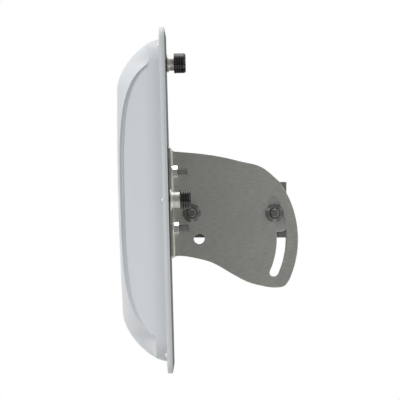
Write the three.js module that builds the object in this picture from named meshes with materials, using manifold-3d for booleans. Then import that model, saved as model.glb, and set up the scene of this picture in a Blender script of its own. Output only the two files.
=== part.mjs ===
// Outdoor wireless bridge: a square flat-panel radio on a tilting mast bracket.
// Millimetres, +Z up. The panel faces -X. The origin is the middle of the 50 mm passage
// through the clamp, level with the two tilt bolts.
import * as THREE from 'three';
import { mergeVertices } from 'three/addons/utils/BufferGeometryUtils.js';
import Module from 'manifold-3d';

const wasm = await Module();
wasm.setup();

// Shared clearances and facets
const SEAT = 0.3;
const OVERRUN = 4;
const WELD = 0.0005;
const ROUND_SIDES = 24;
const SMALL_SIDES = 12;
const POST_SIDES = 6;
const CORNER_STEPS = 4;
const HEX_SIDES = 6;

// Panel
const PANEL_SIDE = 320;
const PANEL_CORNER = 10;
const BACK_PLATE = 1.9;
const FLANGE = 2.7;
const FLANGE_WIDTH = 7.2;
const DOME_CORNER = 20;
const DOME_RISE = 43.4;
const DOME_CROWN = 1.5;
const DOME_SHOULDER_RUN = 45.8;
const DOME_POWER = 1.6;
const DOME_BOW_SHARE = 0.033;
const DOME_BOW_POWER = 1.5;
const RADOME_WALL = 2.5;
const CREASE_HEIGHT = 40;
const CREASE_FROM_FOOT = 19.8;
const CREASE_POWER = 2.8;
const CREASE_FALL_POWER = 2.2;
const CORNER_WALL = 10;
const SIDE_LEAN = 42.8;
const SIDE_RISE = 42;
const DOME_MIDDLE_SHARES = [0, 0.3, 0.56, 0.8];
const DOME_SHOULDER_ROWS = 6;
const DOME_SIDE_COLUMNS = 4;
const DOME_FRONT_COLUMNS = 6;

// Where the panel hangs on the bracket
const PIVOT_X = -36;
const PIVOT_TO_BACK = 21.1;
const PANEL_ABOVE_PIVOT = 12.75;
const DOWN_TILT_DEGREES = 1.5;

// Panel seal and rim screws
const SEAL_WIDTH = 2.7;
const SEAL_THICK = 0.9;
const RIM_SCREW = 3;
const RIM_SCREW_HEAD = 5.4;
const RIM_SCREW_HEAD_HEIGHT = 1.6;
const RIM_SCREW_GRIP = 4.1;
const RIM_SCREW_FROM_EDGE = 3.6;
const RIM_SCREW_FROM_CORNER = 17;

// Antenna array
const ARRAY_FROM_EDGE = 40;
const ARRAY_CORNER = 24;
const ARRAY_DEPTH = 20;
const BOARD = 1.6;
const PATCH = 36;
const PATCH_FROM_EDGE = 18;
const PATCH_ROWS = 4;
const PATCH_THICK = 0.8;
const PATCH_POST = 3;
const PATCH_POST_HEIGHT = 3;
const ARRAY_POST = 7;
const ARRAY_POST_INSET = 16;
const INNER_POST_INSET = 31;
const INNER_POST_PAST_RADIO = 24;

// Radio board
const RADIO_WIDTH = 150;
const RADIO_HEIGHT = 120;
const RADIO_CORNER = 4;
const RADIO_DEPTH = 6.5;
const RADIO_POST = 6;
const RADIO_POST_INSET = 7;
const CHIP = 17;
const CHIP_THICK = 1.4;
const CHIP_UP = 14;
const SHIELD_WIDTH = 46;
const SHIELD_HEIGHT = 34;
const SHIELD_DEEP = 4;
const SHIELD_WALL = 0.4;
const MAGNETICS_WIDTH = 24;
const MAGNETICS_HEIGHT = 15;
const MAGNETICS_DEEP = 9;
const MAGNETICS_FROM_SIDE = 29;
const MAGNETICS_FROM_FOOT = 34;

// Coaxial jacks on the back, their nuts, seals and dust caps
const JACK_HOLE_CLEAR = 0.3;
const JACK_SHOULDER_THICK = 1.5;
const JACK_SEAL_THICK = 0.6;
const JACK_NUT_FLATS = 20;
const JACK_NUT_THICK = 3;
const JACK_TAIL = 9;
const JACK_TAIL_DIAMETER = 6;
const JACK_BORE = 8.6;
const JACK_IN_CAP = 8;
const INSULATOR_THICK = 4;
const CONTACT_DIAMETER = 3;
const CONTACT_LENGTH = 7;
const CAP_WALL = 1.3;
const CAP_CLEAR = 0.5;
const CAP_CHAMFER = 1.2;
const TOP_JACK_FROM_EDGE = 30;
const SIDE_PORTS_FROM_EDGE = 46;
const TOP_JACK = {
  y: 0, z: PANEL_SIDE / 2 - TOP_JACK_FROM_EDGE,
  neck: 14.2, shoulder: 16.8, reach: 7.4, cap: 19.2, capLength: 11.5,
};
const SIDE_JACK = {
  y: SIDE_PORTS_FROM_EDGE - PANEL_SIDE / 2, z: 0,
  neck: 15.1, shoulder: 20, reach: 10.4, cap: 17.8, capLength: 10.4,
};

// Data port on the back
const PORT = { y: PANEL_SIDE / 2 - SIDE_PORTS_FROM_EDGE, z: 0, neck: 21, reach: 6, cap: 26, capLength: 12 };
const PORT_WALL = 1.6;
const PORT_IN_CAP = 8;
const PORT_SHOULDER = 27;
const PORT_NUT_FLATS = 27;
const SOCKET_WIDTH = 13.4;
const SOCKET_HEIGHT = 10.6;
const SOCKET_DEEP = 12;
const SOCKET_WALL = 1.1;

// Pigtails inside the panel
const COAX = 2.2;
const COAX_SIDES = 8;
const COAX_STEPS = 20;
const PLUG_SIDE = 6;
const PLUG_DEEP = 3.6;
const PLUG_SPREAD = 24;
const PLUG_UP = 44;
const PIGTAIL_LEAD = 4.4;
const PIGTAIL_APPROACH = 11;

// Tilt plates
const SHEET = 2.5;
const PLATE_FOOT = 32.4;
const PLATE_FLANGE_TOP = 62.8;
const PLATE_FLANGE_BOTTOM = -42;
const PLATE_TOP = 59.2;
const PLATE_BOTTOM = 72.5;
const PLATE_ARC = 93.3;
const PLATE_TOP_SHARES = [[0.118, 0.944], [0.404, 0.875], [0.597, 0.807], [0.795, 0.74], [0.918, 0.649]];
const PLATE_BOTTOM_SHARES = [
  [1.014, 1], [0.883, 0.986], [0.669, 0.923], [0.492, 0.821], [0.279, 0.68], [0.137, 0.618], [-0.1, 0.56],
];
const PLATE_ARC_DEGREES = { top: 34, bottom: -26 };
const PLATE_CORNER_SHARES = [1.099, 0.979];
const PLATE_CURVE_STEPS = 12;
const PLATE_ARC_STEPS = 12;
const BOLT_SPACING = 78;
const SPARE_HOLE = { x: 6.35, z: -24.9, diameter: 10.4 };
const ARC_SLOT = 9.6;
const ARC_SLOT_DEGREES = 25.3;
const FINE_SLOT = 9;
const FINE_SLOT_UP_DEGREES = 7.9;
const FINE_SLOT_DOWN_DEGREES = 2.7;
const SLOT_STEPS = 10;
const SLOT_END_STEPS = 6;

// Studs and nuts that hold the tilt plates to the panel
const STUD = 6;
const STUD_HEAD = 11;
const STUD_HEAD_THICK = 1.2;
const STUD_LENGTH = 18;
const STUD_FROM_PLATE = 18.4;
const STUD_SPREAD = 26.5;
const STUD_NUT_FLATS = 10;
const STUD_NUT_THICK = 5;
const STUD_WASHER = 12.5;
const STUD_WASHER_THICK = 0.8;

// Mast clamp
const MAST = 50;
const JAW_HALF_WIDTH = 36;
const JAW_TOP = 29.4;
const JAW_BOTTOM = -23.2;
const JAW_END = 53.4;
const JAW_FRONT = 50;
const V_HALF_DEGREES = 60;
const V_FLAT_SHARE = 0.92;
const STRAP = 3;
const STRAP_TOP = 23;
const STRAP_BOTTOM = -17.5;
const STRAP_CORNER = 5;
const JAW_TRAVEL_IN = 5;
const JAW_TRAVEL_OUT = 3;
const BOLT = 8;
const BOLT_CLEAR = 0.3;
const BOLT_END = 3.5;
const NUT_FLANGE = 17.6;
const NUT_FLANGE_THICK = 1.6;
const NUT_FLATS = 13;
const NUT_THICK = 8;
const HEAD_THICK = 5.5;
const CLAMP_SCREW = 6;
const CLAMP_SCREW_CLEAR = 0.3;
const CLAMP_HEAD = 10;
const CLAMP_HEAD_LENGTH = 6;
const CLAMP_HEAD_RECESS = 7;
const CLAMP_KEY = 5;
const CLAMP_KEY_DEEP = 3;
const CLAMP_INSET = 7;
const CLAMP_HEIGHTS = { upper: 17, lower: -11 };
const CLAMP_SCREW_END = -40;

// Sizes that follow
const PLATE_FRONT = BACK_PLATE + SEAT;
const FLANGE_FRONT = PLATE_FRONT + FLANGE;
const PANEL_HALF = PANEL_SIDE / 2;
const DOME_HALF = PANEL_HALF - FLANGE_WIDTH;
const DOME_SHOULDER = DOME_HALF - DOME_SHOULDER_RUN;
const CREASE_HALF = DOME_HALF - CREASE_FROM_FOOT;
const ARRAY_SIDE = PANEL_SIDE - 2 * ARRAY_FROM_EDGE;
const PATCH_PITCH = (ARRAY_SIDE - 2 * PATCH_FROM_EDGE - PATCH) / (PATCH_ROWS - 1);
const BOLT_HOLE = BOLT + 2 * BOLT_CLEAR;
const PLATE_ROOT = -PIVOT_TO_BACK + SEAT;
const STRAP_FACE = JAW_HALF_WIDTH + SEAT;
const PLATE_FACE = STRAP_FACE + STRAP + SEAT;
const PLATE_FLANGE_EDGE = PLATE_FACE + PLATE_FOOT;
const STUD_SIDE = PLATE_FACE + STUD_FROM_PLATE;
const RADIANS = Math.PI / 180;

// Solids: joining, cutting and placing
function solidOf(geometry) {
  const bare = geometry.clone();
  bare.deleteAttribute('normal');
  bare.deleteAttribute('uv');
  const merged = mergeVertices(bare, WELD);
  const corners = merged.index.array;
  const kept = [];
  for (let i = 0; i < corners.length; i += 3) {
    const [a, b, c] = corners.slice(i, i + 3);
    if (a !== b && b !== c && c !== a) kept.push(a, b, c);
  }
  const mesh = new wasm.Mesh({
    numProp: 3,
    vertProperties: new Float32Array(merged.attributes.position.array),
    triVerts: new Uint32Array(kept),
  });
  return new wasm.Manifold(mesh);
}

function geometryOf(solid) {
  const mesh = solid.getMesh();
  const geometry = new THREE.BufferGeometry();
  geometry.setAttribute('position', new THREE.BufferAttribute(mesh.vertProperties, 3));
  geometry.setIndex(new THREE.BufferAttribute(mesh.triVerts, 1));
  return geometry;
}

function join(...geometries) {
  return geometryOf(geometries.map(solidOf).reduce((whole, next) => whole.add(next)));
}

function cut(geometry, ...tools) {
  return geometryOf(tools.map(solidOf).reduce((left, tool) => left.subtract(tool), solidOf(geometry)));
}

function at(geometry, x, y, z) {
  return geometry.translate(x, y, z);
}

function block(xs, ys, zs) {
  const geometry = new THREE.BoxGeometry(xs[1] - xs[0], ys[1] - ys[0], zs[1] - zs[0]);
  return at(geometry, (xs[0] + xs[1]) / 2, (ys[0] + ys[1]) / 2, (zs[0] + zs[1]) / 2);
}

// A round or, with six sides, hexagonal bar along X or Y between two stations
function barX(radius, from, to, sides = SMALL_SIDES) {
  const geometry = new THREE.CylinderGeometry(radius, radius, to - from, sides);
  return at(geometry.rotateZ(-Math.PI / 2), (from + to) / 2, 0, 0);
}

function barY(radius, from, to, sides = SMALL_SIDES) {
  const geometry = new THREE.CylinderGeometry(radius, radius, to - from, sides);
  return at(geometry, 0, (from + to) / 2, 0);
}

function hexRadius(flats) {
  return flats / Math.sqrt(3);
}

// A shape drawn in Y and Z, with its thickness along X
function sheetX(shape, from, to) {
  const settings = { depth: to - from, bevelEnabled: false, curveSegments: CORNER_STEPS };
  const geometry = new THREE.ExtrudeGeometry(shape, settings);
  const turn = new THREE.Matrix4().makeBasis(
    new THREE.Vector3(0, 1, 0), new THREE.Vector3(0, 0, 1), new THREE.Vector3(1, 0, 0));
  return at(geometry.applyMatrix4(turn), from, 0, 0);
}

// A shape drawn in X and Z, with its thickness along Y
function sheetY(shape, from, to) {
  const settings = { depth: to - from, bevelEnabled: false, curveSegments: CORNER_STEPS };
  const geometry = new THREE.ExtrudeGeometry(shape, settings);
  const turn = new THREE.Matrix4().makeBasis(
    new THREE.Vector3(1, 0, 0), new THREE.Vector3(0, 0, 1), new THREE.Vector3(0, -1, 0));
  return at(geometry.applyMatrix4(turn), 0, to, 0);
}

// A profile of radius against station, turned about X
function turnedX(profile, sides = ROUND_SIDES) {
  const points = profile.map(([radius, station]) => new THREE.Vector2(radius, station));
  return new THREE.LatheGeometry(points, sides).rotateZ(-Math.PI / 2);
}

function roundedRectangle(width, height, radius) {
  const shape = new THREE.Shape();
  const w = width / 2;
  const h = height / 2;
  shape.moveTo(-w + radius, -h);
  shape.lineTo(w - radius, -h);
  shape.absarc(w - radius, -h + radius, radius, -Math.PI / 2, 0);
  shape.absarc(w - radius, h - radius, radius, 0, Math.PI / 2);
  shape.absarc(-w + radius, h - radius, radius, Math.PI / 2, Math.PI);
  shape.absarc(-w + radius, -h + radius, radius, Math.PI, 1.5 * Math.PI);
  return shape;
}

function fromPoints(points) {
  return new THREE.Shape(points.map(([x, y]) => new THREE.Vector2(x, y)));
}

const finishes = {
  radome: new THREE.MeshStandardMaterial({ color: 0xd6dadc, roughness: 0.45 }),
  paintedPlate: new THREE.MeshStandardMaterial({ color: 0xb0b5b7, roughness: 0.5, metalness: 0.2 }),
  rubber: new THREE.MeshStandardMaterial({ color: 0x1c1c1c, roughness: 0.85 }),
  stainless: new THREE.MeshStandardMaterial({ color: 0x8c8b84, roughness: 0.35, metalness: 1 }),
  zinc: new THREE.MeshStandardMaterial({ color: 0x9a9890, roughness: 0.4, metalness: 1 }),
  strap: new THREE.MeshStandardMaterial({ color: 0xb9bbb8, roughness: 0.4, metalness: 1 }),
  jaw: new THREE.MeshStandardMaterial({ color: 0x4a4a48, roughness: 0.55, metalness: 0.6 }),
  blackPlastic: new THREE.MeshStandardMaterial({ color: 0x1e1f20, roughness: 0.6 }),
  board: new THREE.MeshStandardMaterial({ color: 0x1f5a3a, roughness: 0.5 }),
  copper: new THREE.MeshStandardMaterial({ color: 0xb87333, roughness: 0.35, metalness: 1 }),
  brass: new THREE.MeshStandardMaterial({ color: 0xc2a15a, roughness: 0.3, metalness: 1 }),
  white: new THREE.MeshStandardMaterial({ color: 0xf0efe8, roughness: 0.5 }),
};

const bridge = new THREE.Group();
const tilting = new THREE.Group();
const panel = new THREE.Group();
tilting.position.set(PIVOT_X, 0, 0);
tilting.rotation.y = -DOWN_TILT_DEGREES * RADIANS;
panel.position.set(-PIVOT_TO_BACK, 0, PANEL_ABOVE_PIVOT);
tilting.add(panel);
bridge.add(tilting);

function piece(group, name, geometry, material) {
  const mesh = new THREE.Mesh(geometry, material);
  mesh.name = name;
  group.add(mesh);
}

// Radome: depths are counted forward from the back of the back plate
function crownDepth(height, inset) {
  const rise = DOME_RISE - DOME_CROWN;
  const away = Math.abs(height);
  if (away <= DOME_SHOULDER - inset) {
    return FLANGE_FRONT + DOME_RISE - inset - DOME_CROWN * (away / DOME_SHOULDER) ** 2;
  }
  const reach = Math.min(1, (away - DOME_SHOULDER + inset) / (DOME_HALF - DOME_SHOULDER));
  return FLANGE_FRONT + (rise - inset) * (1 - reach ** DOME_POWER) ** (1 / DOME_POWER);
}

function creaseDepth(height, inset) {
  const reach = Math.min(1, Math.abs(height) / (CREASE_HALF - inset));
  const arch = (1 - reach ** CREASE_POWER) ** (1 / CREASE_POWER);
  const high = (FLANGE_FRONT + CREASE_HEIGHT - inset) * arch;
  return Math.min(crownDepth(height, inset), Math.max(high, FLANGE_FRONT + CORNER_WALL - inset));
}

function sideLean(depth) {
  const climb = Math.max(0, (depth - FLANGE_FRONT) / SIDE_RISE);
  return SIDE_LEAN * (1 - Math.sqrt(1 - Math.min(1, climb) ** 2));
}

function planHalfWidth(height, inset) {
  const radius = DOME_CORNER - inset;
  const intoCorner = Math.max(0, Math.abs(height) - (DOME_HALF - DOME_CORNER));
  return DOME_HALF - DOME_CORNER + Math.sqrt(Math.max(0, radius ** 2 - intoCorner ** 2));
}

// Top and bottom edges of the dome bow in towards its corners
function bowedHeight(y, height) {
  return height * (1 - DOME_BOW_SHARE * (Math.abs(y) / DOME_HALF) ** DOME_BOW_POWER);
}

function domeHeights(inset) {
  const upper = DOME_MIDDLE_SHARES.map((share) => share * DOME_SHOULDER);
  for (let i = 0; i <= DOME_SHOULDER_ROWS; i++) {
    const reach = Math.sin((i / DOME_SHOULDER_ROWS) * Math.PI / 2) ** (2 / DOME_POWER);
    upper.push(DOME_SHOULDER - inset + (DOME_HALF - DOME_SHOULDER) * reach);
  }
  const lower = upper.slice(1).map((height) => -height).reverse();
  return [...lower, ...upper];
}

function domeRow(height, inset) {
  const foot = planHalfWidth(height, inset);
  const crease = creaseDepth(height, inset);
  const crown = crownDepth(height, inset);
  const half = [];
  for (let j = 0; j <= DOME_SIDE_COLUMNS; j++) {
    const depth = FLANGE_FRONT + (crease - FLANGE_FRONT) * (j / DOME_SIDE_COLUMNS);
    half.push([-(foot - sideLean(depth)), depth]);
  }
  const edge = -half[DOME_SIDE_COLUMNS][0];
  for (let j = 1; j < DOME_FRONT_COLUMNS; j++) {
    const across = 1 - j / DOME_FRONT_COLUMNS;
    half.push([-edge * across, crown - (crown - crease) * across ** CREASE_FALL_POWER]);
  }
  const mirrored = half.map(([y, depth]) => [-y, depth]).reverse();
  return [...half, [0, crown], ...mirrored].map(([y, depth]) => [-depth, y, bowedHeight(y, height)]);
}

// A closed dome with a flat base: rows of points, a skirt down to the base and a fan over it
function domeBody(inset, baseDepth) {
  const rows = domeHeights(inset).map((height) => domeRow(height, inset));
  const last = rows.length - 1;
  const width = rows[0].length;
  const rim = [
    ...rows[0],
    ...rows.slice(1, last).map((row) => row[width - 1]),
    ...[...rows[last]].reverse(),
    ...rows.slice(1, last).map((row) => row[0]).reverse(),
  ];
  const base = rim.map(([, y, z]) => [-baseDepth, y, z]);
  const triangles = [];
  for (let i = 0; i < last; i++) {
    for (let j = 0; j < width - 1; j++) {
      const [a, b, c, d] = [rows[i][j], rows[i][j + 1], rows[i + 1][j + 1], rows[i + 1][j]];
      triangles.push(a, c, b, a, d, c);
    }
  }
  const centre = [-baseDepth, 0, 0];
  for (let i = 0; i < rim.length; i++) {
    const next = (i + 1) % rim.length;
    triangles.push(rim[i], rim[next], base[next], rim[i], base[next], base[i]);
    triangles.push(base[i], base[next], centre);
  }
  const geometry = new THREE.BufferGeometry();
  geometry.setAttribute('position', new THREE.Float32BufferAttribute(triangles.flat(), 3));
  return geometry;
}

function rimScrewPlaces() {
  const edge = PANEL_HALF - RIM_SCREW_FROM_EDGE;
  const high = PANEL_HALF - RIM_SCREW_FROM_CORNER;
  const sides = [-high, 0, high].flatMap((z) => [[-edge, z], [edge, z]]);
  return [...sides, [0, -edge], [0, edge]];
}

function rimScrewHoles() {
  const radius = RIM_SCREW / 2 + SEAT;
  const hole = () => barX(radius, -FLANGE_FRONT - OVERRUN, OVERRUN, POST_SIDES);
  return rimScrewPlaces().map(([y, z]) => at(hole(), 0, y, z));
}

function radome() {
  const outline = roundedRectangle(PANEL_SIDE, PANEL_SIDE, PANEL_CORNER);
  const flange = sheetX(outline, -FLANGE_FRONT, -PLATE_FRONT);
  const rebate = 2 * (DOME_HALF - RADOME_WALL + SEAL_WIDTH + 2 * SEAT);
  const rebateDeep = SEAL_THICK + SEAT;
  const seat = roundedRectangle(rebate, rebate, PANEL_CORNER);
  const shell = join(flange, domeBody(0, PLATE_FRONT + FLANGE / 2));
  const groove = sheetX(seat, -PLATE_FRONT - rebateDeep, 0);
  return cut(shell, domeBody(RADOME_WALL, 0), groove, ...rimScrewHoles());
}

function perimeterSeal() {
  const inner = 2 * (DOME_HALF - RADOME_WALL + SEAT);
  const outer = inner + 2 * SEAL_WIDTH;
  const shape = roundedRectangle(outer, outer, PANEL_CORNER - SEAT);
  shape.holes.push(roundedRectangle(inner, inner, PANEL_CORNER - SEAL_WIDTH));
  return sheetX(shape, -PLATE_FRONT - SEAL_THICK, -PLATE_FRONT);
}

function backPlate() {
  const outline = roundedRectangle(PANEL_SIDE, PANEL_SIDE, PANEL_CORNER);
  const through = (radius, y, z) => at(barX(radius, -BACK_PLATE - OVERRUN, OVERRUN, ROUND_SIDES), 0, y, z);
  const ports = [TOP_JACK, SIDE_JACK, PORT].map((port) => (
    through(port.neck / 2 + JACK_HOLE_CLEAR, port.y, port.z)));
  const studs = studPlaces().map(([y, z]) => through(STUD / 2 + SEAT, y, z));
  const postY = RADIO_WIDTH / 2 - RADIO_POST_INSET;
  const postZ = RADIO_HEIGHT / 2 - RADIO_POST_INSET;
  const outer = ARRAY_SIDE / 2 - ARRAY_POST_INSET;
  const innerY = RADIO_WIDTH / 2 - INNER_POST_INSET;
  const innerZ = RADIO_HEIGHT / 2 + INNER_POST_PAST_RADIO;
  const posts = [
    ...postsUpTo(ARRAY_DEPTH, ARRAY_POST, gridPlaces([-outer, outer], [-outer, outer])),
    ...postsUpTo(ARRAY_DEPTH, ARRAY_POST, gridPlaces([-innerY, innerY], [-innerZ, innerZ])),
    ...postsUpTo(RADIO_DEPTH, RADIO_POST, gridPlaces([-postY, postY], [-postZ, postZ])),
  ];
  return cut(join(sheetX(outline, -BACK_PLATE, 0), ...posts), ...ports, ...studs, ...rimScrewHoles());
}

function postsUpTo(depth, diameter, places) {
  const post = () => barX(diameter / 2, -depth + SEAT, -BACK_PLATE / 2, POST_SIDES);
  return places.map(([y, z]) => at(post(), 0, y, z));
}

function gridPlaces(sides, heights) {
  return sides.flatMap((y) => heights.map((z) => [y, z]));
}

function rimScrew([y, z]) {
  const seat = -FLANGE_FRONT - SEAT;
  const head = barX(RIM_SCREW_HEAD / 2, seat - RIM_SCREW_HEAD_HEIGHT, seat);
  const shank = barX(RIM_SCREW / 2, seat - RIM_SCREW_HEAD_HEIGHT / 2, seat + RIM_SCREW_GRIP, POST_SIDES);
  return at(join(head, shank), 0, y, z);
}

// Antenna array: a board on the plate's posts, with square elements soldered on it
function arrayBoard() {
  const outline = roundedRectangle(ARRAY_SIDE, ARRAY_SIDE, ARRAY_CORNER);
  const foot = -ARRAY_DEPTH - BOARD / 2;
  const elements = [];
  for (let row = 0; row < PATCH_ROWS; row++) {
    for (let column = 0; column < PATCH_ROWS; column++) {
      const y = (column - (PATCH_ROWS - 1) / 2) * PATCH_PITCH;
      const z = (row - (PATCH_ROWS - 1) / 2) * PATCH_PITCH;
      const top = foot - PATCH_POST_HEIGHT;
      const post = barX(PATCH_POST / 2, top - PATCH_THICK / 2, foot, POST_SIDES);
      const plate = block([top - PATCH_THICK, top], [-PATCH / 2, PATCH / 2], [-PATCH / 2, PATCH / 2]);
      elements.push(at(join(post, plate), 0, y, z));
    }
  }
  return join(sheetX(outline, -ARRAY_DEPTH - BOARD, -ARRAY_DEPTH), ...elements);
}

// Radio board: chip on its back against the plate, shielded radio and magnetics on its front
function radioBoard() {
  const outline = roundedRectangle(RADIO_WIDTH, RADIO_HEIGHT, RADIO_CORNER);
  return sheetX(outline, -RADIO_DEPTH - BOARD, -RADIO_DEPTH);
}

function onBoard(width, height, deep, y, z) {
  const foot = -RADIO_DEPTH - BOARD - SEAT;
  return block([foot - deep, foot], [y - width / 2, y + width / 2], [z - height / 2, z + height / 2]);
}

function processor() {
  const back = -RADIO_DEPTH + SEAT + CHIP_THICK;
  return block([back - CHIP_THICK, back], [-CHIP / 2, CHIP / 2], [CHIP_UP - CHIP / 2, CHIP_UP + CHIP / 2]);
}

function heatPad() {
  const front = -RADIO_DEPTH + CHIP_THICK + 2 * SEAT;
  return block([front, -PLATE_FRONT], [-CHIP / 2, CHIP / 2], [CHIP_UP - CHIP / 2, CHIP_UP + CHIP / 2]);
}

function magnetics() {
  const y = RADIO_WIDTH / 2 - MAGNETICS_FROM_SIDE;
  const z = MAGNETICS_FROM_FOOT - RADIO_HEIGHT / 2;
  return onBoard(MAGNETICS_WIDTH, MAGNETICS_HEIGHT, MAGNETICS_DEEP, y, z);
}

function shieldCan() {
  const foot = -RADIO_DEPTH - BOARD - SEAT;
  const inside = block(
    [foot - SHIELD_DEEP + SHIELD_WALL, foot + OVERRUN],
    [-SHIELD_WIDTH / 2 + SHIELD_WALL, SHIELD_WIDTH / 2 - SHIELD_WALL],
    [-SHIELD_HEIGHT / 2 + SHIELD_WALL, SHIELD_HEIGHT / 2 - SHIELD_WALL]);
  return cut(onBoard(SHIELD_WIDTH, SHIELD_HEIGHT, SHIELD_DEEP, 0, 0), inside);
}

// Coaxial jack: stations are counted back from the outside of the back plate
function jackShell(jack) {
  const shoulderFrom = JACK_SEAL_THICK + 2 * SEAT;
  const shoulderTo = shoulderFrom + JACK_SHOULDER_THICK;
  const end = jack.reach + JACK_IN_CAP;
  const nose = turnedX([
    [0, -JACK_TAIL], [JACK_TAIL_DIAMETER / 2, -JACK_TAIL],
    [JACK_TAIL_DIAMETER / 2, -BACK_PLATE - JACK_NUT_THICK - OVERRUN / 2],
    [jack.neck / 2, -BACK_PLATE - JACK_NUT_THICK - OVERRUN / 2],
    [jack.neck / 2, shoulderFrom], [jack.shoulder / 2, shoulderFrom],
    [jack.shoulder / 2, shoulderTo], [jack.neck / 2, shoulderTo], [jack.neck / 2, end], [0, end],
  ]);
  const bore = barX(JACK_BORE / 2, end - JACK_IN_CAP, end + OVERRUN);
  const pin = barX(CONTACT_DIAMETER / 2 + SEAT, end - JACK_IN_CAP - OVERRUN, end);
  return at(cut(nose, bore, pin), 0, jack.y, jack.z);
}

function jackNut(jack, flats) {
  const from = -PLATE_FRONT - JACK_NUT_THICK;
  const body = barX(hexRadius(flats), from, -PLATE_FRONT, HEX_SIDES);
  const hole = barX(jack.neck / 2 + SEAT, from - OVERRUN, OVERRUN, ROUND_SIDES);
  return at(cut(body, hole), 0, jack.y, jack.z);
}

function jackSeal(jack, diameter) {
  const body = barX(diameter / 2 - SEAT, SEAT, SEAT + JACK_SEAL_THICK, ROUND_SIDES);
  const hole = barX(jack.neck / 2 + SEAT, -OVERRUN, OVERRUN, ROUND_SIDES);
  return at(cut(body, hole), 0, jack.y, jack.z);
}

function jackInsulator(jack) {
  const from = jack.reach + SEAT;
  const body = barX(JACK_BORE / 2 - SEAT, from, from + INSULATOR_THICK);
  const hole = barX(CONTACT_DIAMETER / 2 + SEAT, from - OVERRUN, from + INSULATOR_THICK + OVERRUN);
  return at(cut(body, hole), 0, jack.y, jack.z);
}

function jackContact(jack) {
  const from = jack.reach - SEAT;
  return at(barX(CONTACT_DIAMETER / 2, from, from + CONTACT_LENGTH), 0, jack.y, jack.z);
}

function dustCap(jack, inCap) {
  const from = jack.reach + SEAT;
  const to = jack.reach + jack.capLength;
  const radius = jack.cap / 2;
  const bore = jack.neck / 2 + CAP_CLEAR;
  const floor = jack.reach + inCap + SEAT;
  const skin = turnedX([
    [0, floor], [bore, floor], [bore, from], [radius - CAP_WALL / 2, from], [radius, from + CAP_WALL],
    [radius - CAP_WALL / 4, to - CAP_CHAMFER], [radius - CAP_CHAMFER - CAP_WALL / 4, to], [0, to],
  ]);
  return at(skin, 0, jack.y, jack.z);
}

// Data port: a threaded housing round a moulded socket, closed by a screw cap
function portHousing() {
  const shoulderFrom = JACK_SEAL_THICK + 2 * SEAT;
  const shoulderTo = shoulderFrom + JACK_SHOULDER_THICK;
  const inner = -BACK_PLATE - JACK_NUT_THICK - OVERRUN / 2;
  const end = PORT.reach + PORT_IN_CAP;
  const radius = PORT.neck / 2;
  const body = turnedX([
    [radius - PORT_WALL, inner], [radius, inner], [radius, shoulderFrom], [PORT_SHOULDER / 2, shoulderFrom],
    [PORT_SHOULDER / 2, shoulderTo], [radius, shoulderTo], [radius, end], [radius - PORT_WALL, end],
    [radius - PORT_WALL, inner],
  ]);
  return at(body, 0, PORT.y, PORT.z);
}

function portSocket() {
  const end = PORT.reach + PORT_IN_CAP - CAP_WALL;
  const w = SOCKET_WIDTH / 2;
  const h = SOCKET_HEIGHT / 2;
  const body = block([end - SOCKET_DEEP, end], [-w, w], [-h, h]);
  const mouth = block(
    [end - SOCKET_DEEP + SOCKET_WALL, end + OVERRUN], [-w + SOCKET_WALL, w - SOCKET_WALL],
    [-h + SOCKET_WALL, h - SOCKET_WALL]);
  return at(cut(body, mouth), 0, PORT.y, PORT.z);
}

// Pigtails: from each jack's tail, forward, across and into a plug on the radio board
function coaxTube(points) {
  const path = new THREE.CatmullRomCurve3(points.map(([x, y, z]) => new THREE.Vector3(x, y, z)));
  const section = new THREE.Shape();
  for (let i = 0; i < COAX_SIDES; i++) {
    const turn = (i / COAX_SIDES) * 2 * Math.PI;
    const point = [Math.cos(turn) * COAX / 2, Math.sin(turn) * COAX / 2];
    if (i === 0) section.moveTo(...point);
    else section.lineTo(...point);
  }
  return new THREE.ExtrudeGeometry(section, { steps: COAX_STEPS, extrudePath: path });
}

function pigtail(jack, plugY) {
  const start = -JACK_TAIL - SEAT;
  const level = -RADIO_DEPTH - BOARD - SEAT - PLUG_DEEP / 2;
  const ahead = start - PIGTAIL_LEAD;
  const endZ = PLUG_UP + PLUG_SIDE / 2;
  const approach = endZ + PIGTAIL_APPROACH;
  const middle = (jack.y + plugY) / 2;
  const top = jack.z > endZ ? (jack.z + approach) / 2 : approach + PIGTAIL_LEAD;
  const tube = coaxTube([
    [start, jack.y, jack.z],
    [ahead, jack.y, jack.z],
    [ahead, (3 * jack.y + middle) / 4, (3 * jack.z + top) / 4],
    [(ahead + level) / 2, middle, top],
    [level, plugY, approach],
    [level, plugY, endZ - COAX],
  ]);
  return join(tube, onBoard(PLUG_SIDE, PLUG_SIDE, PLUG_DEEP, plugY, PLUG_UP));
}

// Studs through the back plate, each with a nut and its washer
function studPlaces() {
  return gridPlaces([-STUD_SIDE, STUD_SIDE], [-STUD_SPREAD, STUD_SPREAD]);
}

function stud([y, z]) {
  const head = -PLATE_FRONT - STUD_HEAD_THICK;
  const flange = barX(STUD_HEAD / 2, head, -PLATE_FRONT);
  return at(join(flange, barX(STUD / 2, head + STUD_HEAD_THICK / 2, STUD_LENGTH)), 0, y, z);
}

function studNut([y, z]) {
  const seat = SHEET + 2 * SEAT;
  const washer = barX(STUD_WASHER / 2, seat, seat + STUD_WASHER_THICK, ROUND_SIDES);
  const end = seat + STUD_WASHER_THICK + STUD_NUT_THICK;
  const nut = barX(hexRadius(STUD_NUT_FLATS), seat + STUD_WASHER_THICK / 2, end, HEX_SIDES);
  return at(cut(join(washer, nut), barX(STUD / 2 + SEAT, 0, STUD_LENGTH, SMALL_SIDES)), 0, y, z);
}

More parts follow.
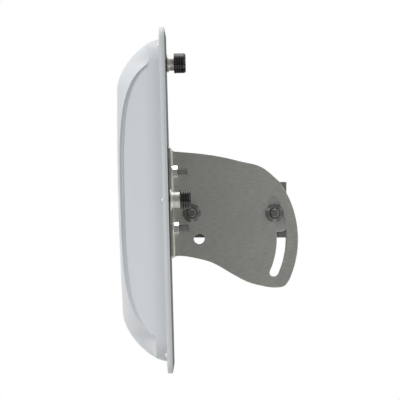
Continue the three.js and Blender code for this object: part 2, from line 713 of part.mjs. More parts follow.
// Tilt plate, drawn about the pivot: a curved top and foot joined by an arc about the spare hole
function plateOutline() {
  const fromSpare = (degrees) => [
    SPARE_HOLE.x + PLATE_ARC * Math.cos(degrees * RADIANS),
    SPARE_HOLE.z + PLATE_ARC * Math.sin(degrees * RADIANS),
  ];
  const brow = PLATE_TOP_SHARES.map(([u, w]) => [u * BOLT_SPACING, w * PLATE_TOP]);
  const foot = PLATE_BOTTOM_SHARES.map(([u, w]) => [u * BOLT_SPACING, -w * PLATE_BOTTOM]);
  foot.push([PLATE_ROOT, foot[foot.length - 1][1] + SEAT]);
  const corner = [PLATE_CORNER_SHARES[0] * BOLT_SPACING, -PLATE_CORNER_SHARES[1] * PLATE_BOTTOM];
  const arcTop = fromSpare(PLATE_ARC_DEGREES.top);
  const arcFoot = fromSpare(PLATE_ARC_DEGREES.bottom);
  const curve = (points) => new THREE.SplineCurve(points.map(([x, y]) => new THREE.Vector2(x, y)));
  const top = curve([[PLATE_ROOT, PLATE_TOP], ...brow, arcTop]).getPoints(PLATE_CURVE_STEPS);
  const points = top.map((p) => [p.x, p.y]);
  for (let i = 1; i <= PLATE_ARC_STEPS; i++) {
    const turned = (PLATE_ARC_DEGREES.bottom - PLATE_ARC_DEGREES.top) * (i / PLATE_ARC_STEPS);
    points.push(fromSpare(PLATE_ARC_DEGREES.top + turned));
  }
  const below = curve([arcFoot, corner, ...foot]).getPoints(2 * PLATE_CURVE_STEPS).slice(1);
  return fromPoints([...points, ...below.map((p) => [p.x, p.y])]);
}

// A slot bent along an arc, with round ends
function arcSlot(centreX, centreZ, radius, width, fromDegrees, toDegrees) {
  const points = [];
  const half = width / 2;
  const along = (degrees, r) => [
    centreX + r * Math.cos(degrees * RADIANS), centreZ + r * Math.sin(degrees * RADIANS)];
  for (let i = 0; i <= SLOT_STEPS; i++) {
    points.push(along(fromDegrees + (toDegrees - fromDegrees) * (i / SLOT_STEPS), radius + half));
  }
  const roundEnd = (degrees, start) => {
    const [x, z] = along(degrees, radius);
    for (let i = 1; i < SLOT_END_STEPS; i++) {
      const turn = degrees * RADIANS + start + Math.PI * (i / SLOT_END_STEPS);
      points.push([x + half * Math.cos(turn), z + half * Math.sin(turn)]);
    }
  };
  roundEnd(toDegrees, 0);
  for (let i = SLOT_STEPS; i >= 0; i--) {
    points.push(along(fromDegrees + (toDegrees - fromDegrees) * (i / SLOT_STEPS), radius - half));
  }
  roundEnd(fromDegrees, Math.PI);
  return fromPoints(points);
}

function tiltPlate(side) {
  const inner = PLATE_FACE;
  const outer = PLATE_FACE + SHEET;
  const [from, to] = side < 0 ? [-outer, -inner] : [inner, outer];
  const through = (shape) => sheetY(shape, from - OVERRUN / 2, to + OVERRUN / 2);
  const holeAt = (px, pz, wide) => (
    at(barY(wide / 2, from - OVERRUN, to + OVERRUN, ROUND_SIDES), px, 0, pz));
  const web = sheetY(plateOutline(), from, to);
  const flangeYs = side < 0 ? [-PLATE_FLANGE_EDGE, -inner] : [inner, PLATE_FLANGE_EDGE];
  const base = block([PLATE_ROOT, PLATE_ROOT + SHEET], flangeYs, [PLATE_FLANGE_BOTTOM, PLATE_FLANGE_TOP]);
  const studHoles = [-STUD_SPREAD, STUD_SPREAD].map((up) => (
    at(barX(STUD / 2 + SEAT, -OVERRUN, OVERRUN), PLATE_ROOT, side * STUD_SIDE, PANEL_ABOVE_PIVOT + up)));
  const { x, z, diameter } = SPARE_HOLE;
  const long = arcSlot(x, z, BOLT_SPACING, ARC_SLOT, -ARC_SLOT_DEGREES, ARC_SLOT_DEGREES);
  const level = -DOWN_TILT_DEGREES;
  const reach = Math.asin(BOLT / 2 / BOLT_SPACING) / RADIANS;
  const slack = Math.asin(FINE_SLOT / 2 / BOLT_SPACING) / RADIANS - reach;
  const up = level + FINE_SLOT_UP_DEGREES + slack;
  const down = level - FINE_SLOT_DOWN_DEGREES - slack;
  return cut(
    join(web, base),
    through(long),
    through(arcSlot(0, 0, BOLT_SPACING, FINE_SLOT, down, up)),
    holeAt(x, z, diameter),
    holeAt(0, 0, BOLT_HOLE),
    ...studHoles);
}

// Mast clamp: two straps, two V jaws and four screws
function strap(side) {
  const width = JAW_END + JAW_FRONT;
  const height = STRAP_TOP - STRAP_BOTTOM;
  const shape = roundedRectangle(width, height, STRAP_CORNER);
  const from = side < 0 ? -STRAP_FACE - STRAP : STRAP_FACE;
  const to = from + STRAP;
  const body = at(sheetY(shape, from, to), (JAW_END - JAW_FRONT) / 2, 0, (STRAP_TOP + STRAP_BOTTOM) / 2);
  const holes = [PIVOT_X, PIVOT_X + BOLT_SPACING].map((x) => (
    at(barY(BOLT_HOLE / 2, from - OVERRUN, to + OVERRUN, ROUND_SIDES), x, 0, 0)));
  return cut(body, ...holes);
}

// A block with a V groove, flat at its bottom; direction is -1 ahead of the mast passage, 1 behind it
function jawBody(direction, end) {
  const apex = MAST / 2 / Math.sin(V_HALF_DEGREES * RADIANS);
  const slope = 1 / Math.tan(V_HALF_DEGREES * RADIANS);
  const flat = apex * V_FLAT_SHARE;
  const flatHalf = (apex - flat) / slope;
  const lip = apex - JAW_HALF_WIDTH * slope;
  const outline = [
    [end, -JAW_HALF_WIDTH], [lip, -JAW_HALF_WIDTH], [flat, -flatHalf],
    [flat, flatHalf], [lip, JAW_HALF_WIDTH], [end, JAW_HALF_WIDTH],
  ].map(([x, y]) => [direction * x, y]);
  if (direction < 0) outline.reverse();
  const height = JAW_TOP - JAW_BOTTOM;
  const geometry = new THREE.ExtrudeGeometry(fromPoints(outline), { depth: height, bevelEnabled: false });
  return at(geometry, 0, 0, JAW_BOTTOM);
}

function clampScrewPlaces() {
  const side = JAW_HALF_WIDTH - CLAMP_INSET;
  return gridPlaces([-side, side], Object.values(CLAMP_HEIGHTS));
}

function clampScrewHoles() {
  const radius = CLAMP_SCREW / 2 + CLAMP_SCREW_CLEAR;
  const hole = () => barX(radius, -JAW_END - OVERRUN, JAW_END + OVERRUN);
  return clampScrewPlaces().map(([y, z]) => at(hole(), 0, y, z));
}

function frontJaw() {
  const bolt = barY(BOLT_HOLE / 2, -STRAP_FACE - OVERRUN, STRAP_FACE + OVERRUN, ROUND_SIDES);
  return cut(jawBody(-1, JAW_FRONT), at(bolt, PIVOT_X, 0, 0), ...clampScrewHoles());
}

function rearJaw() {
  const lock = PIVOT_X + BOLT_SPACING;
  const ends = [lock - JAW_TRAVEL_OUT, lock + JAW_TRAVEL_IN];
  const rounds = ends.map((x) => at(barY(BOLT_HOLE / 2, -STRAP_FACE, STRAP_FACE, ROUND_SIDES), x, 0, 0));
  const slot = block(ends, [-STRAP_FACE, STRAP_FACE], [-BOLT_HOLE / 2, BOLT_HOLE / 2]);
  const recess = CLAMP_HEAD / 2 + SEAT;
  const recesses = clampScrewPlaces().map(([y, z]) => (
    at(barX(recess, JAW_END - CLAMP_HEAD_RECESS, JAW_END + OVERRUN), 0, y, z)));
  return cut(jawBody(1, JAW_END), join(slot, ...rounds), ...clampScrewHoles(), ...recesses);
}

function clampScrew([y, z]) {
  const seat = JAW_END - CLAMP_HEAD_RECESS + SEAT;
  const end = seat + CLAMP_HEAD_LENGTH;
  const shank = barX(CLAMP_SCREW / 2, CLAMP_SCREW_END, seat + CLAMP_HEAD_LENGTH / 2);
  const key = barX(hexRadius(CLAMP_KEY), end - CLAMP_KEY_DEEP, end + OVERRUN, HEX_SIDES);
  return at(cut(join(barX(CLAMP_HEAD / 2, seat, end), shank), key), 0, y, z);
}

// Tilt bolts along Y, with the head on the far side and a flange nut on the near side
function throughBolt(x) {
  const seat = PLATE_FACE + SHEET + SEAT;
  const end = seat + NUT_THICK + BOLT_END;
  const into = seat + NUT_FLANGE_THICK / 2;
  const flange = barY(NUT_FLANGE / 2, seat, seat + NUT_FLANGE_THICK, ROUND_SIDES);
  const head = barY(hexRadius(NUT_FLATS), into, seat + HEAD_THICK + NUT_FLANGE_THICK, HEX_SIDES);
  const shank = barY(BOLT / 2, -end, into, ROUND_SIDES);
  return at(join(flange, head, shank), x, 0, 0);
}

function flangeNut(x) {
  const seat = -PLATE_FACE - SHEET - SEAT;
  const flange = barY(NUT_FLANGE / 2, seat - NUT_FLANGE_THICK, seat, ROUND_SIDES);
  const body = barY(hexRadius(NUT_FLATS), seat - NUT_THICK, seat - NUT_FLANGE_THICK / 2, HEX_SIDES);
  const hole = barY(BOLT / 2 + SEAT, seat - NUT_THICK - OVERRUN, seat + OVERRUN, ROUND_SIDES);
  return at(cut(join(flange, body), hole), x, 0, 0);
}

// The tilting body: the panel's shell and what it holds
piece(panel, 'radome', radome(), finishes.radome);
piece(panel, 'perimeter_seal', perimeterSeal(), finishes.rubber);
piece(panel, 'back_plate', backPlate(), finishes.paintedPlate);
rimScrewPlaces().forEach((place, i) => {
  piece(panel, `rim_screw_${i + 1}`, rimScrew(place), finishes.stainless);
});
piece(panel, 'array_board', arrayBoard(), finishes.copper);
piece(panel, 'radio_board', radioBoard(), finishes.board);
piece(panel, 'processor', processor(), finishes.blackPlastic);
piece(panel, 'heat_pad', heatPad(), finishes.white);
piece(panel, 'radio_shield', shieldCan(), finishes.zinc);
piece(panel, 'power_magnetics', magnetics(), finishes.blackPlastic);
const jacks = [['top', TOP_JACK, PLUG_SPREAD], ['side', SIDE_JACK, -PLUG_SPREAD]];
for (const [name, jack, plugY] of jacks) {
  piece(panel, `${name}_jack`, jackShell(jack), finishes.zinc);
  piece(panel, `${name}_jack_nut`, jackNut(jack, JACK_NUT_FLATS), finishes.zinc);
  piece(panel, `${name}_jack_seal`, jackSeal(jack, jack.shoulder), finishes.rubber);
  piece(panel, `${name}_jack_insulator`, jackInsulator(jack), finishes.white);
  piece(panel, `${name}_jack_contact`, jackContact(jack), finishes.brass);
  piece(panel, `${name}_pigtail`, pigtail(jack, plugY), finishes.blackPlastic);
  piece(panel, `${name}_cap`, dustCap(jack, JACK_IN_CAP), finishes.rubber);
}
piece(panel, 'data_port', portHousing(), finishes.blackPlastic);
piece(panel, 'data_port_nut', jackNut(PORT, PORT_NUT_FLATS), finishes.zinc);
piece(panel, 'data_port_seal', jackSeal(PORT, PORT_SHOULDER), finishes.rubber);
piece(panel, 'data_socket', portSocket(), finishes.blackPlastic);
piece(panel, 'data_port_cap', dustCap(PORT, PORT_IN_CAP), finishes.blackPlastic);
studPlaces().forEach((place, i) => {
  piece(panel, `mounting_stud_${i + 1}`, stud(place), finishes.stainless);
  piece(panel, `stud_nut_${i + 1}`, studNut(place), finishes.stainless);
});
piece(tilting, 'tilt_plate_near', tiltPlate(-1), finishes.stainless);
piece(tilting, 'tilt_plate_far', tiltPlate(1), finishes.stainless);

// The mast clamp
piece(bridge, 'side_strap_near', strap(-1), finishes.strap);
piece(bridge, 'side_strap_far', strap(1), finishes.strap);
piece(bridge, 'front_jaw', frontJaw(), finishes.jaw);
piece(bridge, 'rear_jaw', rearJaw(), finishes.jaw);
clampScrewPlaces().forEach((place, i) => {
  piece(bridge, `clamp_screw_${i + 1}`, clampScrew(place), finishes.zinc);
});
piece(bridge, 'pivot_bolt', throughBolt(PIVOT_X), finishes.stainless);
piece(bridge, 'pivot_nut', flangeNut(PIVOT_X), finishes.stainless);
piece(bridge, 'lock_bolt', throughBolt(PIVOT_X + BOLT_SPACING), finishes.stainless);
piece(bridge, 'lock_nut', flangeNut(PIVOT_X + BOLT_SPACING), finishes.stainless);

export default bridge;
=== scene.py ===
import math
import bmesh
import bpy
from mathutils import Matrix, Vector


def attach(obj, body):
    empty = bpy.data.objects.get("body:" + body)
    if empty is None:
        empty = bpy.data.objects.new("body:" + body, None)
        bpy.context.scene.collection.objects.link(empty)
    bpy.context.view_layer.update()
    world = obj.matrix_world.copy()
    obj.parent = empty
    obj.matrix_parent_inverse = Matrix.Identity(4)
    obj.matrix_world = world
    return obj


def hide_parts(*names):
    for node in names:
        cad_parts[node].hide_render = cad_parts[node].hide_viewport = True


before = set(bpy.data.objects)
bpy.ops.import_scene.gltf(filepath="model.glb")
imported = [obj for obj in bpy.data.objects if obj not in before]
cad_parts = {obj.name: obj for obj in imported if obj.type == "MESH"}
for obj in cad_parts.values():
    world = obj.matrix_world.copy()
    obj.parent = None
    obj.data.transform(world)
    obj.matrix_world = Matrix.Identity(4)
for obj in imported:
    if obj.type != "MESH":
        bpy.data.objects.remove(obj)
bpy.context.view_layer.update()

# The studio: a white sweep all round, darker towards the camera in reflections, a broad lamp
# ahead of the panel, one above it and a weak one behind, and the camera five metres aside.
MM = 0.001
CAMERA_DISTANCE = 5.0
CAMERA_AXIS = (-28.3 * MM, 12.3 * MM)
CAMERA_LENS = 472.7
CAMERA_REACH = 50
SENSOR = 36.0
WORLD_FILL = 0.66
FLOOR_SIDE_FILL = 0.02
FLOOR_SIDE_SPAN = (-0.7, 0.1)
CAMERA_SIDE_LEVEL = 0.24
CAMERA_SIDE_SPAN = (-0.4, 0.15)
OVERHEAD_SPAN = (0.84, 0.96)
UNDERFOOT_SPAN = (-0.3, -0.42)
BEYOND_SPAN = (0.2, 0.5)
FLOOR_LEVEL = -0.6
FLOOR_HALF = 0.55
PAPER_GREY = 0.88
PAPER_ROUGH = 0.9
LAMPS = {
    "front_lamp": {"toward": (-0.74, -0.58, 0.42), "strength": 1.48, "angle": 50},
    "top_lamp": {"toward": (-0.05, 0.3, 0.95), "strength": 0.75, "angle": 40},
    "rear_lamp": {"toward": (0.78, -0.52, 0.3), "strength": 0.46, "angle": 60},
}

scene = bpy.context.scene
camera_data = bpy.data.cameras.new("camera")
camera_data.lens = CAMERA_LENS
camera_data.sensor_width = SENSOR
camera_data.clip_end = CAMERA_REACH
camera = bpy.data.objects.new("camera", camera_data)
camera.location = (CAMERA_AXIS[0], -CAMERA_DISTANCE, CAMERA_AXIS[1])
camera.rotation_euler = (math.pi / 2, 0, 0)
scene.collection.objects.link(camera)
scene.camera = camera
scene.view_settings.view_transform = "Standard"

for lamp_name, lamp in LAMPS.items():
    data = bpy.data.lights.new(lamp_name, "SUN")
    data.energy = lamp["strength"]
    data.angle = math.radians(lamp["angle"])
    lamp_object = bpy.data.objects.new(lamp_name, data)
    lamp_object.rotation_euler = Vector(lamp["toward"]).to_track_quat("Z", "Y").to_euler()
    scene.collection.objects.link(lamp_object)


def node(tree, kind, values=None, **settings):
    """A node with its settings and its inputs, each a value or an output to link from."""
    made = tree.nodes.new(kind)
    for key, value in settings.items():
        setattr(made, key, value)
    for key, value in (values or {}).items():
        if isinstance(value, bpy.types.NodeSocket):
            tree.links.new(value, made.inputs[key])
        else:
            made.inputs[key].default_value = value
    return made


def maths(tree, operation, *values):
    """The output of one sum."""
    return node(tree, "ShaderNodeMath", dict(enumerate(values)), operation=operation).outputs[0]


def ramp(tree, value, span, low=0.0, high=1.0, kind="SMOOTHSTEP"):
    """Goes from one level to another as the value crosses a span."""
    values = {"Value": value, "From Min": span[0], "From Max": span[1], "To Min": low, "To Max": high}
    return node(tree, "ShaderNodeMapRange", values, interpolation_type=kind).outputs[0]


def mixed(tree, share, first, second):
    """Goes from the first value to the second as the share rises."""
    return node(tree, "ShaderNodeMix", {0: share, 2: first, 3: second}).outputs[0]


world = bpy.data.worlds.new("sweep")
world.use_nodes = True
scene.world = world
sky = world.node_tree
background = sky.nodes["Background"]
background.inputs["Color"].default_value = (1, 1, 1, 1)
path = node(sky, "ShaderNodeLightPath").outputs
direction = node(sky, "ShaderNodeSeparateXYZ", {0: node(sky, "ShaderNodeTexCoord").outputs[0]}).outputs

# What gloss mirrors: white beyond the object and overhead, grey on the camera's side, and a
# floor that is white in front of the object and grey beyond it
away = ramp(sky, direction["Y"], CAMERA_SIDE_SPAN, CAMERA_SIDE_LEVEL, 1.0)
overhead = ramp(sky, direction["Z"], OVERHEAD_SPAN)
walls = maths(sky, "MAXIMUM", away, overhead)
underfoot = maths(sky, "MAXIMUM", ramp(sky, direction["Z"], UNDERFOOT_SPAN), walls)
ground = maths(sky, "MULTIPLY", underfoot, ramp(sky, direction["Y"], BEYOND_SPAN, 1.0, CAMERA_SIDE_LEVEL))
above = ramp(sky, direction["Z"], UNDERFOOT_SPAN[::-1], kind="LINEAR")
mirrored = mixed(sky, above, ground, walls)

fill = ramp(sky, direction["Z"], FLOOR_SIDE_SPAN, FLOOR_SIDE_FILL, WORLD_FILL, "LINEAR")
lit = mixed(sky, path["Is Glossy Ray"], fill, mirrored)
seen = maths(sky, "MAXIMUM", path["Is Camera Ray"], path["Is Transmission Ray"])
sky.links.new(mixed(sky, seen, lit, 1.0), background.inputs["Strength"])

floor_mesh = bpy.data.meshes.new("floor")
floor_square = ((-1, -1), (1, -1), (1, 1), (-1, 1))
floor_corners = [(x * FLOOR_HALF, y * FLOOR_HALF, FLOOR_LEVEL) for x, y in floor_square]
floor_mesh.from_pydata(floor_corners, [], [(0, 1, 2, 3)])
floor = bpy.data.objects.new("floor", floor_mesh)
scene.collection.objects.link(floor)
floor_material = bpy.data.materials.new("floor_paper")
floor_material.use_nodes = True
paper = floor_material.node_tree.nodes["Principled BSDF"]
paper.inputs["Base Color"].default_value = (PAPER_GREY, PAPER_GREY, PAPER_GREY, 1)
paper.inputs["Roughness"].default_value = PAPER_ROUGH
floor_mesh.materials.append(floor_material)


# The radome is one moulding in light grey UV-stable plastic with a fine grain. Its front is
# waisted between two scooped sides, each met at a small step, its ends bow towards the corners,
# and a flat flange runs round it.
PIVOT_X = -36
PIVOT_TO_BACK = 21.1
PANEL_ABOVE_PIVOT = 12.75
DOWN_TILT = math.radians(1.5)
TILTING = Matrix.Translation((PIVOT_X * MM, 0, 0)) @ Matrix.Rotation(-DOWN_TILT, 4, "Y")
PANEL = TILTING @ Matrix.Translation((-PIVOT_TO_BACK * MM, 0, PANEL_ABOVE_PIVOT * MM))
FLANGE_BACK = 1.95
FLANGE_FRONT = 4.9
PANEL_SIDE = 320
PANEL_CORNER = 10
DOME_HALF = 152.8
DOME_CORNER = 20
DOME_RISE = 43.4
DOME_CROWN = 1.5
DOME_SHOULDER = 107
DOME_POWER = 1.6
DOME_BOW = 0.033
DOME_BOW_POWER = 1.5
RADOME_WALL = 2.5
CREASE_HEIGHT = 40
CREASE_HALF = 134.8
CREASE_BELOW = 20
CREASE_POWER = 3.5
CREASE_FALL_POWER = 2.2
CORNER_WALL = 10
SIDE_LEAN = 42.8
SIDE_RISE = 42
STEP_DEEP = 3.2
STEP_PROUD = 1.2
STEP_FADE = 4
CREASE_MELT = 5
STEP_SHARES = [(0.2, 0.15), (0.5, 0.5), (0.75, 0.85), (0.9, 1), (1, 0.8)]
MIDDLE_ROWS = 44
SHOULDER_ROWS = 44
SIDE_COLUMNS = 30
FRONT_COLUMNS = 40
SKIN_WELD = 0.01
EDGE_WELD = 0.002
FLANGE_EDGE_ROUND = 0.9
CORNER_STEPS = 8
CLOUD_SCALE = 16.0
CLOUD_ROUGH = 0.12
DUST_FROM = 0.35
DUST_COLOR = (0.55, 0.53, 0.5, 1)
RELIEF_STRENGTH = 0.4

# Turns a drawing in X and Y, with its thickness up Z, to stand across X
ACROSS_X = Matrix(((0, 0, 1, 0), (1, 0, 0, 0), (0, 1, 0, 0), (0, 0, 0, 1)))


def crown_depth(height, inset):
    """How far the middle of the front stands out at a height: nearly flat, then a rounded shoulder."""
    off_middle = abs(height)
    rise = DOME_RISE - DOME_CROWN
    if off_middle <= DOME_SHOULDER - inset:
        return FLANGE_FRONT + DOME_RISE - inset - DOME_CROWN * (off_middle / DOME_SHOULDER) ** 2
    reach = min(1, (off_middle - DOME_SHOULDER + inset) / (DOME_HALF - DOME_SHOULDER))
    return FLANGE_FRONT + (rise - inset) * (1 - reach ** DOME_POWER) ** (1 / DOME_POWER)


def crease_depth(height, inset):
    """How far the crease stands out: a long arch that melts into the low wall round the corners."""
    reach = min(1, abs(height) / (CREASE_HALF - inset))
    climb = FLANGE_FRONT + CREASE_HEIGHT + CREASE_BELOW - inset
    high = climb * (1 - reach ** CREASE_POWER) ** (1 / CREASE_POWER) - CREASE_BELOW
    wall = FLANGE_FRONT + CORNER_WALL - inset
    melted = (high + wall + math.hypot(high - wall, CREASE_MELT)) / 2
    settled = (wall - CREASE_BELOW + math.hypot(wall + CREASE_BELOW, CREASE_MELT)) / 2 - wall
    return min(crown_depth(height, inset), melted - settled)


def side_lean(depth):
    """How far the scooped side has come in at a depth."""
    climb = min(1, max(0, (depth - FLANGE_FRONT) / SIDE_RISE))
    return SIDE_LEAN * (1 - math.sqrt(1 - climb ** 2))


def plan_half_width(height, inset):
    """Half the width of the dome's foot, whose corners are round."""
    radius = DOME_CORNER - inset
    into_corner = max(0, abs(height) - (DOME_HALF - DOME_CORNER))
    return DOME_HALF - DOME_CORNER + math.sqrt(max(0, radius ** 2 - into_corner ** 2))


def dome_heights(inset):
    """The heights of the rows, closer together round the shoulders."""
    upper = [DOME_SHOULDER * i / MIDDLE_ROWS for i in range(MIDDLE_ROWS)]
    for i in range(SHOULDER_ROWS + 1):
        reach = math.sin(i / SHOULDER_ROWS * math.pi / 2) ** (2 / DOME_POWER)
        upper.append(DOME_SHOULDER - inset + (DOME_HALF - DOME_SHOULDER) * reach)
    return [-height for height in reversed(upper[1:])] + upper


def dome_row(height, inset):
    """One row of points across the dome: side wall, step at the crease, front and down again."""
    foot = plan_half_width(height, inset)
    crown = crown_depth(height, inset)
    crease = crease_depth(height, inset)
    room = min(crown - crease, crease - FLANGE_FRONT - CORNER_WALL)
    share = max(0, min(1, room / STEP_FADE))
    fade = share * share * (3 - 2 * share)
    low, high = crease - STEP_DEEP * fade, crease
    half = []
    for j in range(SIDE_COLUMNS + 1):
        depth = FLANGE_FRONT + (low - FLANGE_FRONT) * j / SIDE_COLUMNS
        half.append((foot - side_lean(depth), depth))
    edge = half[-1][0]
    for up, out in STEP_SHARES:
        half.append((edge + STEP_PROUD * out * fade, low + (high - low) * up))
    brow = edge - STEP_PROUD * fade
    for j in range(FRONT_COLUMNS):
        across = 1 - j / FRONT_COLUMNS
        half.append((brow * across, crown - (crown - high) * across ** CREASE_FALL_POWER))
    row = [(-y, depth) for y, depth in half] + [(0, crown)] + list(reversed(half))
    bow = [1 - DOME_BOW * (abs(y) / DOME_HALF) ** DOME_BOW_POWER for y, depth in row]
    return [Vector((-depth, y, height * pulled)) for (y, depth), pulled in zip(row, bow)]


def dome_foot(inset):
    """The outline in Y and Z on which the dome stands."""
    rows = [dome_row(height, inset) for height in dome_heights(inset)]
    up = [row[-1] for row in rows[1:-1]]
    down = [row[0] for row in rows[-2:0:-1]]
    return [(point.y, point.z) for point in rows[0] + up + rows[-1][::-1] + down]


def dome_skin(inset, outward):
    """The rows joined into a sheet."""
    rows = [dome_row(height, inset) for height in dome_heights(inset)]
    width = len(rows[0])
    vertices = [point for row in rows for point in row]
    faces = []
    for i in range(len(rows) - 1):
        for j in range(width - 1):
            a, b = i * width + j, (i + 1) * width + j
            if outward:
                faces.append((a, b, b + 1, a + 1))
            else:
                faces.append((a, a + 1, b + 1, b))
    return vertices, faces


def mesh_from(name, vertices, faces, matrix, weld=0.0):
    """A mesh placed in the row frame, its vertices given in millimetres."""
    mesh = bpy.data.meshes.new(name)
    mesh.from_pydata([tuple(Vector(v) * MM) for v in vertices], [], faces)
    if weld:
        b = bmesh.new()
        b.from_mesh(mesh)
        bmesh.ops.remove_doubles(b, verts=b.verts, dist=weld * MM)
        bmesh.ops.dissolve_degenerate(b, edges=b.edges, dist=weld * MM * 0.1)
        b.to_mesh(mesh)
        b.free()
    mesh.transform(matrix)
    return mesh


def soften(mesh, degrees=35):
    """Smooth shading with edges over the angle kept sharp."""
    b = bmesh.new()
    b.from_mesh(mesh)
    for face in b.faces:
        face.smooth = True
    for edge in b.edges:
        edge.smooth = len(edge.link_faces) == 2 and edge.calc_face_angle(math.pi) < math.radians(degrees)
    b.to_mesh(mesh)
    b.free()


def joined(meshes, degrees=35):
    """Several meshes as the one mesh of a piece."""
    b = bmesh.new()
    for mesh in meshes:
        b.from_mesh(mesh)
        bpy.data.meshes.remove(mesh)
    whole = bpy.data.meshes.new("joined")
    b.to_mesh(whole)
    b.free()
    soften(whole, degrees)
    return whole


def place(name, mesh, material, body, nodes):
    """Makes the piece's object with its finish, hangs it on its body and hides the CAD nodes that it stands
    for.
    """
    piece = bpy.data.objects.new(name, mesh)
    scene.collection.objects.link(piece)
    weighing = piece.modifiers.new("weighing", "WEIGHTED_NORMAL")
    weighing.keep_sharp = True
    graph = bpy.context.evaluated_depsgraph_get()
    mesh = bpy.data.meshes.new_from_object(piece.evaluated_get(graph), depsgraph=graph)
    piece.modifiers.remove(weighing)
    piece.data = mesh
    mesh.name = name
    mesh.materials.clear()
    mesh.materials.append(material)
    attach(piece, body)
    if nodes:
        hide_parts(*nodes)
    return piece


def rounded_rectangle(low, high, radius):
    """Points round a rectangle between two corners, its own corners rounded."""
    points = []
    corners = ((high[0], high[1]), (low[0], high[1]), (low[0], low[1]), (high[0], low[1]))
    for quarter, (x, y) in enumerate(corners):
        centre_x = x - math.copysign(radius, x - (low[0] + high[0]) / 2)
        centre_y = y - math.copysign(radius, y - (low[1] + high[1]) / 2)
        for i in range(CORNER_STEPS + 1):
            angle = (quarter + i / CORNER_STEPS) * math.pi / 2
            points.append((centre_x + radius * math.cos(angle), centre_y + radius * math.sin(angle)))
    return points


def square(side, corner):
    """A rounded square about the middle."""
    return rounded_rectangle((-side / 2, -side / 2), (side / 2, side / 2), corner)


def flat_sheet(outlines, low, high, edge):
    """A sheet drawn in X and Y between two levels: a rim, then its holes, all edges rounded."""
    drawing = bpy.data.curves.new("drawing", "CURVE")
    drawing.dimensions = "2D"
    drawing.fill_mode = "BOTH"
    for outline in outlines:
        spline = drawing.splines.new("POLY")
        spline.points.add(len(outline) - 1)
        spline.use_cyclic_u = True
        for point, (x, y) in zip(spline.points, outline):
            point.co = (x * MM, y * MM, 0, 1)
    drawing.extrude = ((high - low) / 2 - edge) * MM
    drawing.bevel_depth = edge * MM
    drawing.bevel_resolution = 2
    drawing.offset = -edge * MM
    holder = bpy.data.objects.new("drawing", drawing)
    scene.collection.objects.link(holder)
    graph = bpy.context.evaluated_depsgraph_get()
    mesh = bpy.data.meshes.new_from_object(holder.evaluated_get(graph), depsgraph=graph)
    bpy.data.objects.remove(holder)
    b = bmesh.new()
    b.from_mesh(mesh)
    bmesh.ops.remove_doubles(b, verts=b.verts, dist=EDGE_WELD * MM)
    bmesh.ops.recalc_face_normals(b, faces=b.faces)
    b.to_mesh(mesh)
    b.free()
    mesh.transform(Matrix.Translation((0, 0, (low + high) / 2 * MM)))
    return mesh


def placed(mesh, matrix):
    """The mesh moved by the matrix, turned the right way out again if that mirrors it."""
    mesh.transform(matrix)
    if matrix.determinant() < 0:
        mesh.flip_normals()
    return mesh


def finish_group(name, inputs):
    """A shader group that puts out a colour, a roughness and a height, with its named inputs."""
    group = bpy.data.node_groups.new(name, "ShaderNodeTree")
    for socket, value in inputs.items():
        kind = "NodeSocketColor" if socket == "Color" else "NodeSocketFloat"
        group.interface.new_socket(socket, in_out="INPUT", socket_type=kind).default_value = value
    for socket in ("Color", "Roughness", "Height"):
        kind = "NodeSocketColor" if socket == "Color" else "NodeSocketFloat"
        group.interface.new_socket(socket, in_out="OUTPUT", socket_type=kind)
    return group, group.nodes.new("NodeGroupInput"), group.nodes.new("NodeGroupOutput")


def moulded_grain():
    """Fine grain with cloudy colour, and a little dust settled on what faces up."""
    group, given, out = finish_group("moulded_grain", {
        "Color": (0.7, 0.7, 0.7, 1), "Roughness": 0.45, "Grain Scale": 2500.0, "Cloud": 0.04, "Dust": 0.1})
    here = node(group, "ShaderNodeTexCoord")
    spot = here.outputs["Object"]
    clouds = node(group, "ShaderNodeTexNoise", {
        "Vector": spot, "Scale": CLOUD_SCALE, "Detail": 4.0}).outputs["Fac"]
    grain = node(group, "ShaderNodeTexNoise", {
        "Vector": spot, "Scale": given.outputs["Grain Scale"], "Detail": 2.0}).outputs["Fac"]
    cloud = maths(group, "SUBTRACT", clouds, 0.5)
    shade = maths(group, "MULTIPLY_ADD", cloud, given.outputs["Cloud"], 1.0)
    tinted = node(group, "ShaderNodeVectorMath", {
        0: given.outputs["Color"], "Scale": shade}, operation="SCALE")
    upward = node(group, "ShaderNodeSeparateXYZ", {0: here.outputs["Normal"]}).outputs["Z"]
    settled = node(group, "ShaderNodeMapRange", {
        "Value": upward, "From Min": DUST_FROM, "From Max": 1.0,
        "To Max": given.outputs["Dust"]}).outputs[0]
    patchy = maths(group, "MULTIPLY", settled, clouds)
    dusty = node(group, "ShaderNodeMix", {
        0: patchy, 6: tinted.outputs[0], 7: DUST_COLOR}, data_type="RGBA")
    rough = maths(group, "MULTIPLY_ADD", cloud, CLOUD_ROUGH, given.outputs["Roughness"])
    group.links.new(dusty.outputs[2], out.inputs["Color"])
    group.links.new(maths(group, "ADD", rough, patchy), out.inputs["Roughness"])
    group.links.new(grain, out.inputs["Height"])
    return group


def material_of(name, group, values, metallic=0.0, relief=0.02):
    """A material whose colour, roughness and relief come from a finish group."""
    material = bpy.data.materials.new(name)
    material.use_nodes = True
    tree = material.node_tree
    shader = tree.nodes["Principled BSDF"]
    shader.inputs["Metallic"].default_value = metallic
    finish = node(tree, "ShaderNodeGroup", node_tree=group)
    for socket, value in values.items():
        finish.inputs[socket].default_value = value
    bump = node(tree, "ShaderNodeBump", {
        "Height": finish.outputs["Height"], "Strength": RELIEF_STRENGTH, "Distance": relief * MM})
    tree.links.new(finish.outputs["Color"], shader.inputs["Base Color"])
    tree.links.new(finish.outputs["Roughness"], shader.inputs["Roughness"])
    tree.links.new(bump.outputs["Normal"], shader.inputs["Normal"])
    return material


MOULDED = moulded_grain()


